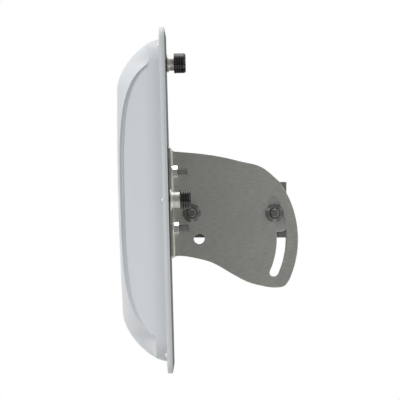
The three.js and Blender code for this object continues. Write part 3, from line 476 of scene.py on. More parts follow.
def moulding(name, color, roughness, grain=2500.0, cloud=0.04, dust=0.1, metallic=0.0, relief=0.02):
    """A moulded or cast finish, its relief in millimetres."""
    values = {"Color": (*color, 1), "Roughness": roughness, "Grain Scale": grain, "Cloud": cloud,
              "Dust": dust}
    return material_of(name, MOULDED, values, metallic, relief)


radome_plastic = moulding(
    "radome_plastic", (0.60, 0.625, 0.645), 0.42, cloud=0.03, dust=0.06, relief=0.03)
radome_flange = flat_sheet(
    [square(PANEL_SIDE, PANEL_CORNER), dome_foot(RADOME_WALL / 2)],
    -FLANGE_FRONT, FLANGE_EDGE_ROUND - FLANGE_BACK, FLANGE_EDGE_ROUND)
for vertex in radome_flange.vertices:
    vertex.co.z = min(vertex.co.z, -FLANGE_BACK * MM)
radome_parts = [
    mesh_from("dome_outer", *dome_skin(0, True), PANEL, weld=SKIN_WELD),
    mesh_from("dome_inner", *dome_skin(RADOME_WALL, False), PANEL, weld=SKIN_WELD),
    placed(radome_flange, PANEL @ ACROSS_X),
]
radome_shell = joined(radome_parts, degrees=40)
place("radome_shell", radome_shell, radome_plastic, "panel", ["radome"])


# The rim seal is a flat ring of black foam rubber in a groove of the radome's flange, pressed
# against the back plate and seen only as a dark line. Its CAD node stays as it is.
seal_rubber = moulding(
    "seal_rubber", (0.018, 0.018, 0.018), 0.85, grain=900.0, cloud=0.3, dust=0.0, relief=0.08)


def dress(names, material):
    """Gives CAD nodes that stay in view a procedural finish."""
    for name in names:
        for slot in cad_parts[name].material_slots:
            slot.material = material


dress(["perimeter_seal", "top_jack_seal", "side_jack_seal", "data_port_seal"], seal_rubber)


# The back plate is a cast aluminium cover painted light grey, with posts inside for the boards.
# Its CAD node stays. A thin dark sheet, kept back from the edge, covers its outside as painted shade.
COAT_PROUD = 0.03
COAT_THICK = 0.3
COAT_INSET = 0.5
PORT_PLACES = {(0, 130): 7.4, (-114, 0): 7.85, (114, 0): 10.8}
COAT_GLOSS = 0.1


def circle(radius, centre=(0, 0), sides=48):
    """Points round a circle."""
    turns = [2 * math.pi * i / sides for i in range(sides)]
    return [(centre[0] + radius * math.cos(t), centre[1] + radius * math.sin(t)) for t in turns]


plate_paint = moulding(
    "plate_paint", (0.52, 0.54, 0.55), 0.4, grain=1800.0, cloud=0.05, dust=0.05, relief=0.03)
dress(["back_plate"], plate_paint)
# Painted shade: a dark, dull sheet over the back face stands for the shadow seen along it.
painted_shade_sheet = moulding(
    "painted_shade_sheet", (0.085, 0.086, 0.087), 0.55, grain=1500.0, cloud=0.15, dust=0.1, relief=0.05)
painted_shade_sheet.node_tree.nodes["Principled BSDF"].inputs["Specular IOR Level"].default_value = COAT_GLOSS
coat_outlines = [square(PANEL_SIDE - 2 * COAT_INSET, PANEL_CORNER - COAT_INSET)]
coat_outlines += [circle(radius, centre) for centre, radius in PORT_PLACES.items()]
coat = flat_sheet(coat_outlines, -COAT_THICK, COAT_PROUD, COAT_PROUD)
place("back_coat", joined([placed(coat, PANEL @ ACROSS_X)]), painted_shade_sheet, "panel", [])


# The rim screws are eight small pan heads with a cross recess, in plain stainless steel. They
# go in from the front through the radome's flange and pull it onto the back plate.
RIM_SCREW = 3
RIM_HEAD = 5.4
RIM_HEAD_HEIGHT = 1.6
RIM_GRIP = 4.1
RIM_FROM_EDGE = 3.6
RIM_FROM_CORNER = 17
RIM_EDGE = 0.1
RIM_POINT_IN = 0.3
RIM_POINT_LONG = 0.4
RIM_CROWN_POWER = 0.6
RIM_CROWN_STEPS = 16
RIM_RECESS = 1.5
RIM_RECESS_WIDE = 0.7
RIM_RECESS_DEEP = 0.9
RIM_RECESS_ABOVE = 0.3
SEAT = 0.3
PLATING_SCALE = 45.0


def turned(rings, sides=48):
    """Rings of points about Z joined into a skin. A ring is a radius and a height, which may
    each be a function of the angle, and a radius of zero is the axis."""
    vertices, faces, spans = [], [], []
    for radius, height in rings:
        spans.append((len(vertices), 1 if radius == 0 else sides))
        for i in range(spans[-1][1]):
            angle = 2 * math.pi * i / sides
            r = radius(angle) if callable(radius) else radius
            h = height(angle) if callable(height) else height
            vertices.append((r * math.cos(angle), r * math.sin(angle), h))
    for (a, count_a), (b, count_b) in zip(spans, spans[1:]):
        for i in range(sides):
            j = (i + 1) % sides
            if count_a == 1:
                faces.append((a, b + j, b + i))
            elif count_b == 1:
                faces.append((a + i, a + j, b))
            else:
                faces.append((a + i, a + j, b + j, b + i))
    return vertices, faces


def turned_mesh(rings, matrix=Matrix(), sides=48):
    """The skin of the rings as a mesh."""
    return mesh_from("turned", *turned(rings, sides), matrix, weld=EDGE_WELD)


def shape_group(name, inputs):
    """A geometry group with its named inputs."""
    group = bpy.data.node_groups.new(name, "GeometryNodeTree")
    group.interface.new_socket("Geometry", in_out="INPUT", socket_type="NodeSocketGeometry")
    for socket, kind in inputs.items():
        group.interface.new_socket(socket, in_out="INPUT", socket_type=kind)
    group.interface.new_socket("Geometry", in_out="OUTPUT", socket_type="NodeSocketGeometry")
    return group, group.nodes.new("NodeGroupInput").outputs, group.nodes.new("NodeGroupOutput")


def close_group(group, geometry, given, out):
    """Makes the copies real and gives them their material."""
    real = node(group, "GeometryNodeRealizeInstances", {0: geometry})
    finished = node(group, "GeometryNodeSetMaterial", {
        "Geometry": real.outputs[0], "Material": given["Material"]})
    group.links.new(finished.outputs[0], out.inputs[0])
    return group


def copies_at_points():
    """A copy of the item at each vertex."""
    group, given, out = shape_group("copies_at_points", {
        "Item": "NodeSocketObject", "Material": "NodeSocketMaterial"})
    item = node(group, "GeometryNodeObjectInfo", {"Object": given["Item"]})
    copies = node(group, "GeometryNodeInstanceOnPoints", {
        "Points": given["Geometry"], "Instance": item.outputs["Geometry"]})
    return close_group(group, copies.outputs[0], given, out)


COPIES_AT_POINTS = copies_at_points()


def shaped(mesh, group, values):
    """The mesh that a geometry group makes of this one, as plain mesh."""
    holder = bpy.data.objects.new("holder", mesh)
    scene.collection.objects.link(holder)
    modifier = holder.modifiers.new("shape", "NODES")
    modifier.node_group = group
    for socket in group.interface.items_tree:
        if socket.in_out == "INPUT" and socket.name in values:
            modifier[socket.identifier] = values[socket.name]
    graph = bpy.context.evaluated_depsgraph_get()
    made = bpy.data.meshes.new_from_object(holder.evaluated_get(graph), depsgraph=graph)
    bpy.data.objects.remove(holder)
    bpy.data.meshes.remove(mesh)
    return made


def copied_at(mesh, places, matrix, material):
    """Copies of a mesh at places in millimetres, all moved by one matrix."""
    item = bpy.data.objects.new("item", mesh)
    scene.collection.objects.link(item)
    points = bpy.data.meshes.new("points")
    points.from_pydata([tuple(Vector(p) * MM) for p in places], [], [])
    made = shaped(points, COPIES_AT_POINTS, {"Item": item, "Material": material})
    bpy.data.objects.remove(item)
    made.transform(matrix)
    return made


def worked_metal():
    """Drawn or turned metal: fine streaks along X, cloudy plating and small handling marks."""
    group, given, out = finish_group("worked_metal", {
        "Color": (0.5, 0.5, 0.5, 1), "Roughness": 0.35, "Streak": 0.1, "Streak Scale": 900.0,
        "Streak Length": 30.0, "Cloud": 0.08})
    spot = node(group, "ShaderNodeTexCoord").outputs["Object"]
    shorter = maths(group, "DIVIDE", 1.0, given.outputs["Streak Length"])
    squeeze = node(group, "ShaderNodeCombineXYZ", {"X": shorter, "Y": 1.0, "Z": 1.0}).outputs[0]
    along = node(group, "ShaderNodeVectorMath", {0: spot, 1: squeeze}, operation="MULTIPLY").outputs[0]
    streaks = node(group, "ShaderNodeTexNoise", {
        "Vector": along, "Scale": given.outputs["Streak Scale"], "Detail": 3.0}).outputs["Fac"]
    broad = node(group, "ShaderNodeTexNoise", {
        "Vector": spot, "Scale": PLATING_SCALE, "Detail": 5.0}).outputs["Fac"]
    streak = maths(group, "MULTIPLY", maths(group, "SUBTRACT", streaks, 0.5), given.outputs["Streak"])
    cloud = maths(group, "MULTIPLY", maths(group, "SUBTRACT", broad, 0.5), given.outputs["Cloud"])
    both = maths(group, "ADD", streak, cloud)
    shade = maths(group, "MULTIPLY_ADD", both, 2.0, 1.0)
    color = node(group, "ShaderNodeVectorMath", {
        0: given.outputs["Color"], "Scale": shade}, operation="SCALE")
    group.links.new(color.outputs[0], out.inputs["Color"])
    group.links.new(maths(group, "ADD", given.outputs["Roughness"], both), out.inputs["Roughness"])
    group.links.new(streaks, out.inputs["Height"])
    return group


WORKED = worked_metal()


def metal(name, color, roughness, streak=0.1, scale=900.0, length=30.0, cloud=0.08, relief=0.01):
    """A worked metal finish, its relief in millimetres."""
    values = {"Color": (*color, 1), "Roughness": roughness, "Streak": streak, "Streak Scale": scale,
              "Streak Length": length, "Cloud": cloud}
    return material_of(name, WORKED, values, 1.0, relief)


def cross_recess(mesh):
    """Sinks a cross, deepest in the middle, into a head whose top is a fan of fine rings."""
    for vertex in mesh.vertices:
        x, y = abs(vertex.co.x / MM), abs(vertex.co.y / MM)
        inside = max(x, y) < RIM_RECESS and min(x, y) < RIM_RECESS_WIDE / 2
        if inside and vertex.co.z > RIM_RECESS_ABOVE * MM:
            vertex.co.z -= RIM_RECESS_DEEP * MM * (1 - max(x, y) / RIM_RECESS / 2)
    return mesh


screw_steel = metal("screw_steel", (0.8, 0.8, 0.79), 0.3, scale=1500.0, length=1.0, cloud=0.15)
rim_rings = [
    (0, -RIM_GRIP), (RIM_SCREW / 2 - RIM_POINT_IN, -RIM_GRIP),
    (RIM_SCREW / 2, -RIM_GRIP + RIM_POINT_LONG), (RIM_SCREW / 2, 0),
    (RIM_HEAD / 2 - RIM_EDGE, 0), (RIM_HEAD / 2, RIM_EDGE)]
for i in range(1, RIM_CROWN_STEPS):
    inward = math.cos(i / RIM_CROWN_STEPS * math.pi / 2)
    domed = (RIM_HEAD_HEIGHT - RIM_EDGE) * (1 - inward ** 2) ** RIM_CROWN_POWER
    rim_rings.append((RIM_HEAD / 2 * inward, RIM_EDGE + domed))
rim_rings.append((0, RIM_HEAD_HEIGHT))
rim_screw = cross_recess(turned_mesh(rim_rings, sides=32))
rim_screw.transform(Matrix.Rotation(-math.pi / 2, 4, "Y"))
rim_edge = PANEL_SIDE / 2 - RIM_FROM_EDGE
rim_high = PANEL_SIDE / 2 - RIM_FROM_CORNER
rim_places = [(y, z) for z in (-rim_high, 0, rim_high) for y in (-rim_edge, rim_edge)]
rim_places += [(0, -rim_edge), (0, rim_edge)]
rim_screws = copied_at(
    rim_screw, [(-FLANGE_FRONT - SEAT, y, z) for y, z in rim_places], PANEL, screw_steel)
rim_nodes = [f"rim_screw_{i}" for i in range(1, 9)]
place("rim_screws", joined([rim_screws]), screw_steel, "panel", rim_nodes)


# Inside the sealed panel: the copper-clad antenna board with its square elements, the green
# radio board, its chip on a heat pad, the tinned shield and the magnetics. CAD nodes stay.
copper_clad = metal(
    "copper_clad", (0.72, 0.36, 0.2), 0.32, streak=0.05, scale=300.0, length=1.0, cloud=0.2)
solder_mask = moulding(
    "solder_mask", (0.012, 0.11, 0.045), 0.28, grain=700.0, cloud=0.35, dust=0.0, relief=0.03)
chip_epoxy = moulding("chip_epoxy", (0.02, 0.02, 0.022), 0.55, grain=3000.0, cloud=0.2, dust=0.0)
pad_silicone = moulding("pad_silicone", (0.6, 0.62, 0.66), 0.75, grain=1200.0, cloud=0.15, dust=0.0)
tinned_steel = metal(
    "tinned_steel", (0.62, 0.61, 0.58), 0.28, streak=0.04, scale=400.0, length=4.0, cloud=0.2)
coax_jacket = moulding("coax_jacket", (0.09, 0.035, 0.018), 0.45, grain=1800.0, cloud=0.2, dust=0.0)
dress(["array_board"], copper_clad)
dress(["radio_board"], solder_mask)
dress(["processor", "power_magnetics"], chip_epoxy)
dress(["heat_pad"], pad_silicone)
dress(["radio_shield"], tinned_steel)
dress(["top_pigtail", "side_pigtail"], coax_jacket)


# Two coaxial jacks stand on the back plate, turned in nickel-plated brass with a threaded neck,
# each screwed through on a rubber seal and held by a nut inside. A dust cap hides the contact.
JACK_TAIL = 9
TAIL_RADIUS = 3
NECK_INNER = 6.9
SHOULDER_FROM = 1.2
SHOULDER_TO = 2.7
IN_CAP = 8
JACK_BORE = 4.3
PIN_BORE = 1.8
PIN_DEEP = 4
JACK_PITCH = 1.1
JACK_THREAD = 0.12
BREAK = 0.3
RINGS_A_TURN = 5
JACKS = {
    "top": {"y": 0, "z": 130, "neck": 7.1, "shoulder": 8.4, "reach": 7.4, "cap": 9.6, "length": 11.5},
    "side": {"y": -114, "z": 0, "neck": 7.55, "shoulder": 10, "reach": 10.4, "cap": 8.9, "length": 10.4},
}

# Turns Z to point back from the panel
ALONG_X = Matrix.Rotation(math.pi / 2, 4, "Y")


def cut_thread():
    """Sinks a helical groove into a turned mesh about Z, between two heights."""
    group, given, out = shape_group("cut_thread", {
        "Pitch": "NodeSocketFloat", "Depth": "NodeSocketFloat", "From": "NodeSocketFloat",
        "To": "NodeSocketFloat", "Material": "NodeSocketMaterial"})
    spot = node(group, "GeometryNodeInputPosition").outputs[0]
    x, y, z = node(group, "ShaderNodeSeparateXYZ", {0: spot}).outputs
    turns = maths(group, "DIVIDE", maths(group, "ARCTAN2", y, x), 2 * math.pi)
    climb = maths(group, "ADD", maths(group, "DIVIDE", z, given["Pitch"]), turns)
    wave = maths(group, "MULTIPLY", maths(group, "PINGPONG", climb, 0.5), given["Depth"])
    outward = node(group, "ShaderNodeVectorMath", {
        0: node(group, "ShaderNodeCombineXYZ", {"X": x, "Y": y}).outputs[0]}, operation="NORMALIZE")
    inward = node(group, "ShaderNodeVectorMath", {
        0: outward.outputs[0], "Scale": maths(group, "MULTIPLY", wave, -2.0)}, operation="SCALE")
    within = maths(group, "MULTIPLY", maths(group, "GREATER_THAN", z, given["From"]),
                   maths(group, "LESS_THAN", z, given["To"]))
    moved = node(group, "GeometryNodeSetPosition", {
        "Geometry": given["Geometry"], "Selection": within, "Offset": inward.outputs[0]})
    return close_group(group, moved.outputs[0], given, out)


CUT_THREAD = cut_thread()


def threaded_run(radius, low, high, pitch):
    """Rings close enough together to carry a thread."""
    count = round((high - low) / pitch * RINGS_A_TURN)
    return [(radius, low + (high - low) * i / count) for i in range(count + 1)]


def threaded(rings, pitch, depth, low, high, material, sides=48):
    """A turned mesh with a thread cut between two heights."""
    values = {"Pitch": pitch * MM, "Depth": depth * MM, "From": low * MM, "To": high * MM,
              "Material": material}
    return shaped(turned_mesh(rings, sides=sides), CUT_THREAD, values)


def on_panel(y, z):
    """From a shape about Z, standing on the origin, to its place on the back of the panel."""
    return PANEL @ Matrix.Translation((0, y * MM, z * MM)) @ ALONG_X


nickel = metal("nickel", (0.8, 0.79, 0.74), 0.42, streak=0.08, scale=1400.0, length=0.2, cloud=0.12)
ptfe = moulding("ptfe", (0.83, 0.82, 0.78), 0.4, grain=1500.0, cloud=0.05, dust=0.0)
contact_brass = metal("contact_brass", (0.75, 0.55, 0.24), 0.22, streak=0.05, length=1.0, cloud=0.1)
for jack_name, jack in JACKS.items():
    neck, shoulder, reach = jack["neck"], jack["shoulder"], jack["reach"]
    end = reach + IN_CAP
    jack_rings = [
        (0, -JACK_TAIL), (TAIL_RADIUS - BREAK, -JACK_TAIL), (TAIL_RADIUS, -JACK_TAIL + BREAK),
        (TAIL_RADIUS, -NECK_INNER), (neck - BREAK, -NECK_INNER), (neck, -NECK_INNER + BREAK),
        (neck, SHOULDER_FROM), (shoulder - BREAK, SHOULDER_FROM), (shoulder, SHOULDER_FROM + BREAK),
        (shoulder, SHOULDER_TO - BREAK), (shoulder - BREAK, SHOULDER_TO), (neck, SHOULDER_TO)]
    jack_rings += threaded_run(neck, SHOULDER_TO + BREAK, end - 2 * BREAK, JACK_PITCH)
    jack_rings += [
        (neck - 2 * BREAK, end), (JACK_BORE + BREAK, end), (JACK_BORE, end - BREAK), (JACK_BORE, reach),
        (PIN_BORE, reach), (PIN_BORE, reach - PIN_DEEP), (0, reach - PIN_DEEP)]
    shell = threaded(jack_rings, JACK_PITCH, JACK_THREAD, SHOULDER_TO + 2 * BREAK, end - 2 * BREAK, nickel)
    shell.transform(on_panel(jack["y"], jack["z"]))
    place(f"{jack_name}_jack_shell", joined([shell]), nickel, "panel",
          [f"{jack_name}_jack"])
    dress([f"{jack_name}_jack_nut"], nickel)
    dress([f"{jack_name}_jack_insulator"], ptfe)
    dress([f"{jack_name}_jack_contact"], contact_brass)


# The dust caps are moulded in glossy black rubber: a collar at the mouth, shallow grip grooves
# round the skirt and a long soft chamfer to a dished end. They push over the jacks' necks.
CAP_SLACK = 0.5
CAP_COLLAR = 1.9
CAP_GROOVES = 3
CAP_GROOVE_PITCH = 2.2
CAP_GROOVE_HALF = 0.6
CAP_GROOVE_DEEP = 0.25
CAP_CHAMFER = 2.2
CAP_CHAMFER_DEEP = 0.8
CAP_DISH = 0.4
CAP_DISH_WIDE = 2.6
CAP_GLOSS = 0.75

cap_rubber = moulding(
    "cap_rubber", (0.005, 0.006, 0.0065), 0.13, grain=1600.0, cloud=0.35, dust=0.02, relief=0.015)
cap_rubber.node_tree.nodes["Principled BSDF"].inputs["Specular IOR Level"].default_value = CAP_GLOSS


def cap_shell(radius, neck, reach, length, skirt):
    """Rings of a cap about Z over the end of a neck, with the rings of its skirt between."""
    low, high = reach + SEAT, reach + length
    bore, ceiling = neck + CAP_SLACK, reach + IN_CAP + SEAT
    face = radius - CAP_CHAMFER_DEEP
    rings = [
        (0, ceiling), (bore, ceiling), (bore, low + BREAK), (bore + BREAK, low), (radius - 2 * BREAK, low),
        (radius - BREAK / 2, low + BREAK), (radius, low + 2 * BREAK)]
    rings += skirt(low + CAP_COLLAR, high - CAP_CHAMFER)
    return rings + [
        (face + BREAK, high - 2 * BREAK), (face, high - BREAK), (face - BREAK, high),
        (radius - CAP_DISH_WIDE, high), (radius - CAP_DISH_WIDE - BREAK, high - CAP_DISH),
        (0, high - CAP_DISH)]


def dust_cap(radius, neck, reach, length):
    """A cap with grooves round its skirt."""
    def skirt(low, high):
        rings = [(radius, low - 2 * BREAK)]
        for i in range(CAP_GROOVES):
            middle = low + CAP_GROOVE_HALF + i * CAP_GROOVE_PITCH
            rings += [
                (radius, middle - CAP_GROOVE_HALF),
                (radius - CAP_GROOVE_DEEP, middle - CAP_GROOVE_HALF / 3),
                (radius - CAP_GROOVE_DEEP, middle + CAP_GROOVE_HALF / 3),
                (radius, middle + CAP_GROOVE_HALF)]
        return rings + [(radius, high), (radius - BREAK / 2, high + BREAK)]

    return joined([turned_mesh(cap_shell(radius, neck, reach, length, skirt), sides=64)], degrees=50)


for jack_name, jack in JACKS.items():
    cap = dust_cap(jack["cap"], jack["neck"], jack["reach"], jack["length"])
    cap.transform(on_panel(jack["y"], jack["z"]))
    place(f"{jack_name}_dust_cap", cap, cap_rubber, f"{jack_name}_cap_body",
          [f"{jack_name}_cap"])


# The data port on the far side is a black nylon housing with a coarse thread round a moulded
# socket with eight gilt contacts. A ribbed screw cap, moulded in the same nylon, closes it.
PORT_Y = 114
PORT_NECK = 10.5
PORT_WALL = 1.6
PORT_REACH = 6
PORT_SHOULDER = 13.5
PORT_CAP = 13
PORT_CAP_LENGTH = 12
PORT_PITCH = 1.8
PORT_THREAD = 0.5
RIB_PROUD = 0.55
RIB_WIDE = 1.15
RIB_SPACING = 2.0
RIB_END = 0.5
RIB_FADE = 0.1
RIB_SHARES = [(-1, -1), (0.4, -0.85), (0.9, -0.4), (1, 0), (0.9, 0.4), (0.4, 0.85), (-1, 1)]
CONTACTS = 8
CONTACT_PITCH = 1.02
CONTACT_HALF = 0.22
CONTACT_RUN = (3.4, 11.6)
CONTACT_LEVEL = -3.6

port_nylon = moulding(
    "port_nylon", (0.019, 0.0195, 0.02), 0.5, grain=1400.0, cloud=0.25, dust=0.2, relief=0.04)
port_end = PORT_REACH + IN_CAP
port_inner = PORT_NECK - PORT_WALL
port_rings = [
    (port_inner, -NECK_INNER), (PORT_NECK - BREAK, -NECK_INNER), (PORT_NECK, -NECK_INNER + BREAK),
    (PORT_NECK, SHOULDER_FROM), (PORT_SHOULDER - BREAK, SHOULDER_FROM),
    (PORT_SHOULDER, SHOULDER_FROM + BREAK), (PORT_SHOULDER, SHOULDER_TO - BREAK),
    (PORT_SHOULDER - BREAK, SHOULDER_TO), (PORT_NECK, SHOULDER_TO)]
port_rings += threaded_run(PORT_NECK, SHOULDER_TO + BREAK, port_end - 2 * BREAK, PORT_PITCH)
port_rings += [
    (PORT_NECK - 2 * BREAK, port_end), (port_inner + BREAK, port_end), (port_inner, port_end - BREAK),
    (port_inner, -NECK_INNER)]
port_housing = threaded(
    port_rings, PORT_PITCH, PORT_THREAD, SHOULDER_TO + 2 * BREAK, port_end - 2 * BREAK, port_nylon, sides=64)
port_housing.transform(on_panel(PORT_Y, 0))
place("port_housing", joined([port_housing]), port_nylon, "panel", ["data_port"])


def rib_mesh(low, high):
    """One upright grip rib with a round back and faded ends."""
    back = [(RIB_PROUD * out, RIB_WIDE / 2 * side) for out, side in RIB_SHARES]
    levels = [(low, RIB_FADE), (low + RIB_END, 1), (high - RIB_END, 1), (high, RIB_FADE)]
    vertices = []
    for z, grow in levels:
        vertices += [(x * grow if x > 0 else x, y, z) for x, y in back]
    n = len(back)
    faces = [tuple(range(n - 1, -1, -1)), tuple(range(3 * n, 4 * n))]
    for k in range(3):
        for i in range(n):
            j = (i + 1) % n
            faces.append((k * n + i, k * n + j, (k + 1) * n + j, (k + 1) * n + i))
    return mesh_from("rib", vertices, faces, Matrix())


def copies_in_ring():
    """Copies of the item in a ring about Z, each turned to its place."""
    group, given, out = shape_group("copies_in_ring", {
        "Item": "NodeSocketObject", "Count": "NodeSocketInt", "Radius": "NodeSocketFloat",
        "Material": "NodeSocketMaterial"})
    ring = node(group, "GeometryNodeMeshCircle", {"Vertices": given["Count"], "Radius": given["Radius"]})
    item = node(group, "GeometryNodeObjectInfo", {"Object": given["Item"]})
    index = node(group, "GeometryNodeInputIndex").outputs[0]
    share = maths(group, "DIVIDE", index, given["Count"])
    turn = node(group, "ShaderNodeCombineXYZ", {"Z": maths(group, "MULTIPLY", share, 2 * math.pi)})
    copies = node(group, "GeometryNodeInstanceOnPoints", {
        "Points": ring.outputs[0], "Instance": item.outputs["Geometry"], "Rotation": turn.outputs[0]})
    return close_group(group, copies.outputs[0], given, out)


COPIES_IN_RING = copies_in_ring()


def ring_of(mesh, count, radius, material):
    """Copies of a mesh, which stands clear of Z along X, in a ring about Z."""
    item = bpy.data.objects.new("item", mesh)
    scene.collection.objects.link(item)
    values = {"Item": item, "Count": count, "Radius": radius * MM, "Material": material}
    made = shaped(bpy.data.meshes.new("ring"), COPIES_IN_RING, values)
    bpy.data.objects.remove(item)
    return made


def ribbed_skirt(low, high):
    """A plain skirt under a collar, for the ribs to stand on."""
    skirt = PORT_CAP - RIB_PROUD
    return [
        (PORT_CAP, low - BREAK), (PORT_CAP - BREAK / 2, low), (skirt, low + BREAK / 2),
        (skirt, high), (skirt - BREAK / 2, high + BREAK)]


cap_low = PORT_REACH + SEAT + CAP_COLLAR
cap_high = PORT_REACH + PORT_CAP_LENGTH - CAP_CHAMFER
port_cap_rings = cap_shell(PORT_CAP, PORT_NECK, PORT_REACH, PORT_CAP_LENGTH, ribbed_skirt)
rib_count = round(2 * math.pi * PORT_CAP / RIB_SPACING)
port_ribs = ring_of(rib_mesh(cap_low, cap_high), rib_count, PORT_CAP - RIB_PROUD, port_nylon)
port_cap = joined([turned_mesh(port_cap_rings, sides=64), port_ribs], degrees=40)
port_cap.transform(on_panel(PORT_Y, 0))
place("port_cap", port_cap, port_nylon, "data_cap_body", ["data_port_cap"])
dress(["data_socket", "data_port_nut"], port_nylon)

contact_sides = (-CONTACT_HALF, CONTACT_HALF)
contact_box = [(x, y, z) for x in CONTACT_RUN for y in contact_sides for z in contact_sides]
contact_faces = [(0, 1, 3, 2), (4, 6, 7, 5), (0, 4, 5, 1), (2, 3, 7, 6), (0, 2, 6, 4), (1, 5, 7, 3)]
contact = mesh_from("contact", contact_box, contact_faces, Matrix())
contact_from = PORT_Y - (CONTACTS - 1) / 2 * CONTACT_PITCH
contact_places = [(0, contact_from + i * CONTACT_PITCH, CONTACT_LEVEL) for i in range(CONTACTS)]
contacts = copied_at(contact, contact_places, PANEL, contact_brass)
place("socket_contacts", joined([contacts]), contact_brass, "panel", [])


# Four M6 studs come out through the back plate and carry the bracket, each with a washer and
# a hexagon nut. All are stainless steel, with bright rolled threads.
STUD_RADIUS = 3
STUD_HEAD = 5.5
STUD_HEAD_THICK = 1.2
STUD_LENGTH = 18
STUD_PITCH = 1
STUD_THREAD = 0.34
STUD_SMOOTH = 0.2
STUD_SIDE = 58
STUD_SPREAD = 26.5
NUT_SEAT = 3.1
WASHER_RADIUS = 6.25
WASHER_THICK = 0.8
STUD_NUT_FLATS = 10
STUD_NUT_THICK = 5
NUT_TURN = math.radians(8)
CHAMFER_TOUCH = 0.97
CHAMFER_TILT = math.tan(math.radians(30))


def hexagon(flats):
    """The radius of a hexagon at an angle, with a corner at zero."""
    def radius(angle):
        return flats / 2 / math.cos(angle % (math.pi / 3) - math.pi / 6)

    return radius


def chamfered(flats, level, away):
    """The height of a hexagon's chamfered edge at an angle, falling up or down from a flat face."""
    across = hexagon(flats)

    def height(angle):
        return level + away * (across(angle) - flats / 2 * CHAMFER_TOUCH) * CHAMFER_TILT

    return height


def hex_nut_rings(flats, bore, low, high):
    """A chamfered nut from its lower face round the outside and down through the bore."""
    across, touch = hexagon(flats), flats / 2 * CHAMFER_TOUCH
    return [
        (bore + BREAK, low), (touch, low), (across, chamfered(flats, low, 1)),
        (across, chamfered(flats, high, -1)), (touch, high), (bore + BREAK, high),
        (bore, high - BREAK), (bore, low + BREAK), (bore + BREAK, low)]


stud_steel = metal(
    "stud_steel", (0.19, 0.187, 0.178), 0.3, streak=0.1, scale=1500.0, length=0.2, cloud=0.15)
nut_steel = metal(
    "nut_steel", (0.84, 0.838, 0.815), 0.18, streak=0.06, scale=1200.0, length=1.0, cloud=0.12)
stud_back = -FLANGE_BACK - STUD_HEAD_THICK
stud_rings = [
    (0, stud_back), (STUD_HEAD - BREAK, stud_back), (STUD_HEAD, stud_back + BREAK),
    (STUD_HEAD, -FLANGE_BACK), (STUD_RADIUS, -FLANGE_BACK)]
stud_rings += threaded_run(STUD_RADIUS, 0, STUD_LENGTH - 2 * BREAK, STUD_PITCH)
stud_rings += [(STUD_RADIUS - 2 * BREAK, STUD_LENGTH), (0, STUD_LENGTH)]
stud = threaded(
    stud_rings, STUD_PITCH, STUD_THREAD, STUD_SMOOTH, STUD_LENGTH - 2 * BREAK, stud_steel, sides=32)
stud.transform(ALONG_X)
stud_places = [(0, y, z) for y in (-STUD_SIDE, STUD_SIDE) for z in (-STUD_SPREAD, STUD_SPREAD)]
studs = copied_at(stud, stud_places, PANEL, stud_steel)
place("mounting_studs", joined([studs]), stud_steel, "panel",
      [f"mounting_stud_{i}" for i in range(1, 5)])

nut_bore = STUD_RADIUS + SEAT
washer_top = NUT_SEAT + WASHER_THICK
washer_rings = [
    (nut_bore, NUT_SEAT), (WASHER_RADIUS, NUT_SEAT), (WASHER_RADIUS, washer_top - BREAK),
    (WASHER_RADIUS - BREAK, washer_top), (nut_bore, washer_top), (nut_bore, NUT_SEAT)]
stud_nut = joined([
    turned_mesh(washer_rings, ALONG_X),
    turned_mesh(
        hex_nut_rings(STUD_NUT_FLATS, nut_bore, washer_top, washer_top + STUD_NUT_THICK),
        ALONG_X @ Matrix.Rotation(NUT_TURN, 4, "Z"))])
stud_nuts = copied_at(stud_nut, stud_places, PANEL, nut_steel)
place("stud_nuts", joined([stud_nuts]), nut_steel, "panel",
      [f"stud_nut_{i}" for i in range(1, 5)])


# The two tilt plates are folded from 2.5 mm stainless sheet, brushed along their length. Each
# has a pivot hole, a short fine slot run into a long coarse one, and a foot on two studs.
SHEET = 2.5
PLATE_FACE = 39.6
PLATE_ROOT = -20.8
PLATE_FOOT_EDGE = 72
PLATE_FOOT_TOP = 62.8
PLATE_FOOT_BOTTOM = -42
PLATE_TOP = 59.2
PLATE_BOTTOM = 72.5
PLATE_ARC = 93.3
PLATE_ARC_DEGREES = (34, -26)
PLATE_TOP_SHARES = [(0.118, 0.944), (0.404, 0.875), (0.597, 0.807), (0.795, 0.74), (0.918, 0.649)]
PLATE_BOTTOM_SHARES = [
    (1.099, 0.979), (1.014, 1), (0.883, 0.986), (0.669, 0.923), (0.492, 0.821), (0.279, 0.68), (0.137, 0.618),
    (-0.1, 0.56)]
FOLD_INNER = 2
FOLD_CUTS = 10
FOLD_CLOSE = 0.001
FOLD_CLEAR = 1
FOOT_CORNER = 3
SHEET_EDGE = 0.3
BOLT_SPACING = 78
BOLT_HOLE = 4.3
SPARE_HOLE = (6.35, -24.9)
SPARE_HOLE_RADIUS = 5.2
LONG_SLOT = 9.6
LONG_SLOT_DEGREES = 25.3
FINE_SLOT = 9
FINE_SLOT_DEGREES = (-4.57, 6.77)
CURVE_STEPS = 72
ARC_STEPS = 40
END_STEPS = 16
STUD_HOLE = 3.3

# Turns a drawing in X and Y, with its thickness up Z, to stand across Y towards the near side,
# or mirrored first, towards the far side
ACROSS_Y = Matrix(((1, 0, 0, 0), (0, 0, -1, 0), (0, 1, 0, 0), (0, 0, 0, 1)))
MIRRORED = Matrix.Diagonal((1, 1, -1, 1))


def curve_through(points, steps):
    """Points along a smooth curve through the given ones."""
    last = len(points) - 1
    made = []
    for i in range(steps + 1):
        along = last * i / steps
        k = min(int(along), last - 1)
        t = along - k
        a, b, c, d = (Vector(points[min(max(j, 0), last)]) for j in (k - 1, k, k + 1, k + 2))
        u, v = (c - a) / 2, (d - b) / 2
        cubic, squared = 2 * b - 2 * c + u + v, 3 * c - 3 * b - 2 * u - v
        made.append(tuple(cubic * t ** 3 + squared * t ** 2 + u * t + b))
    return made


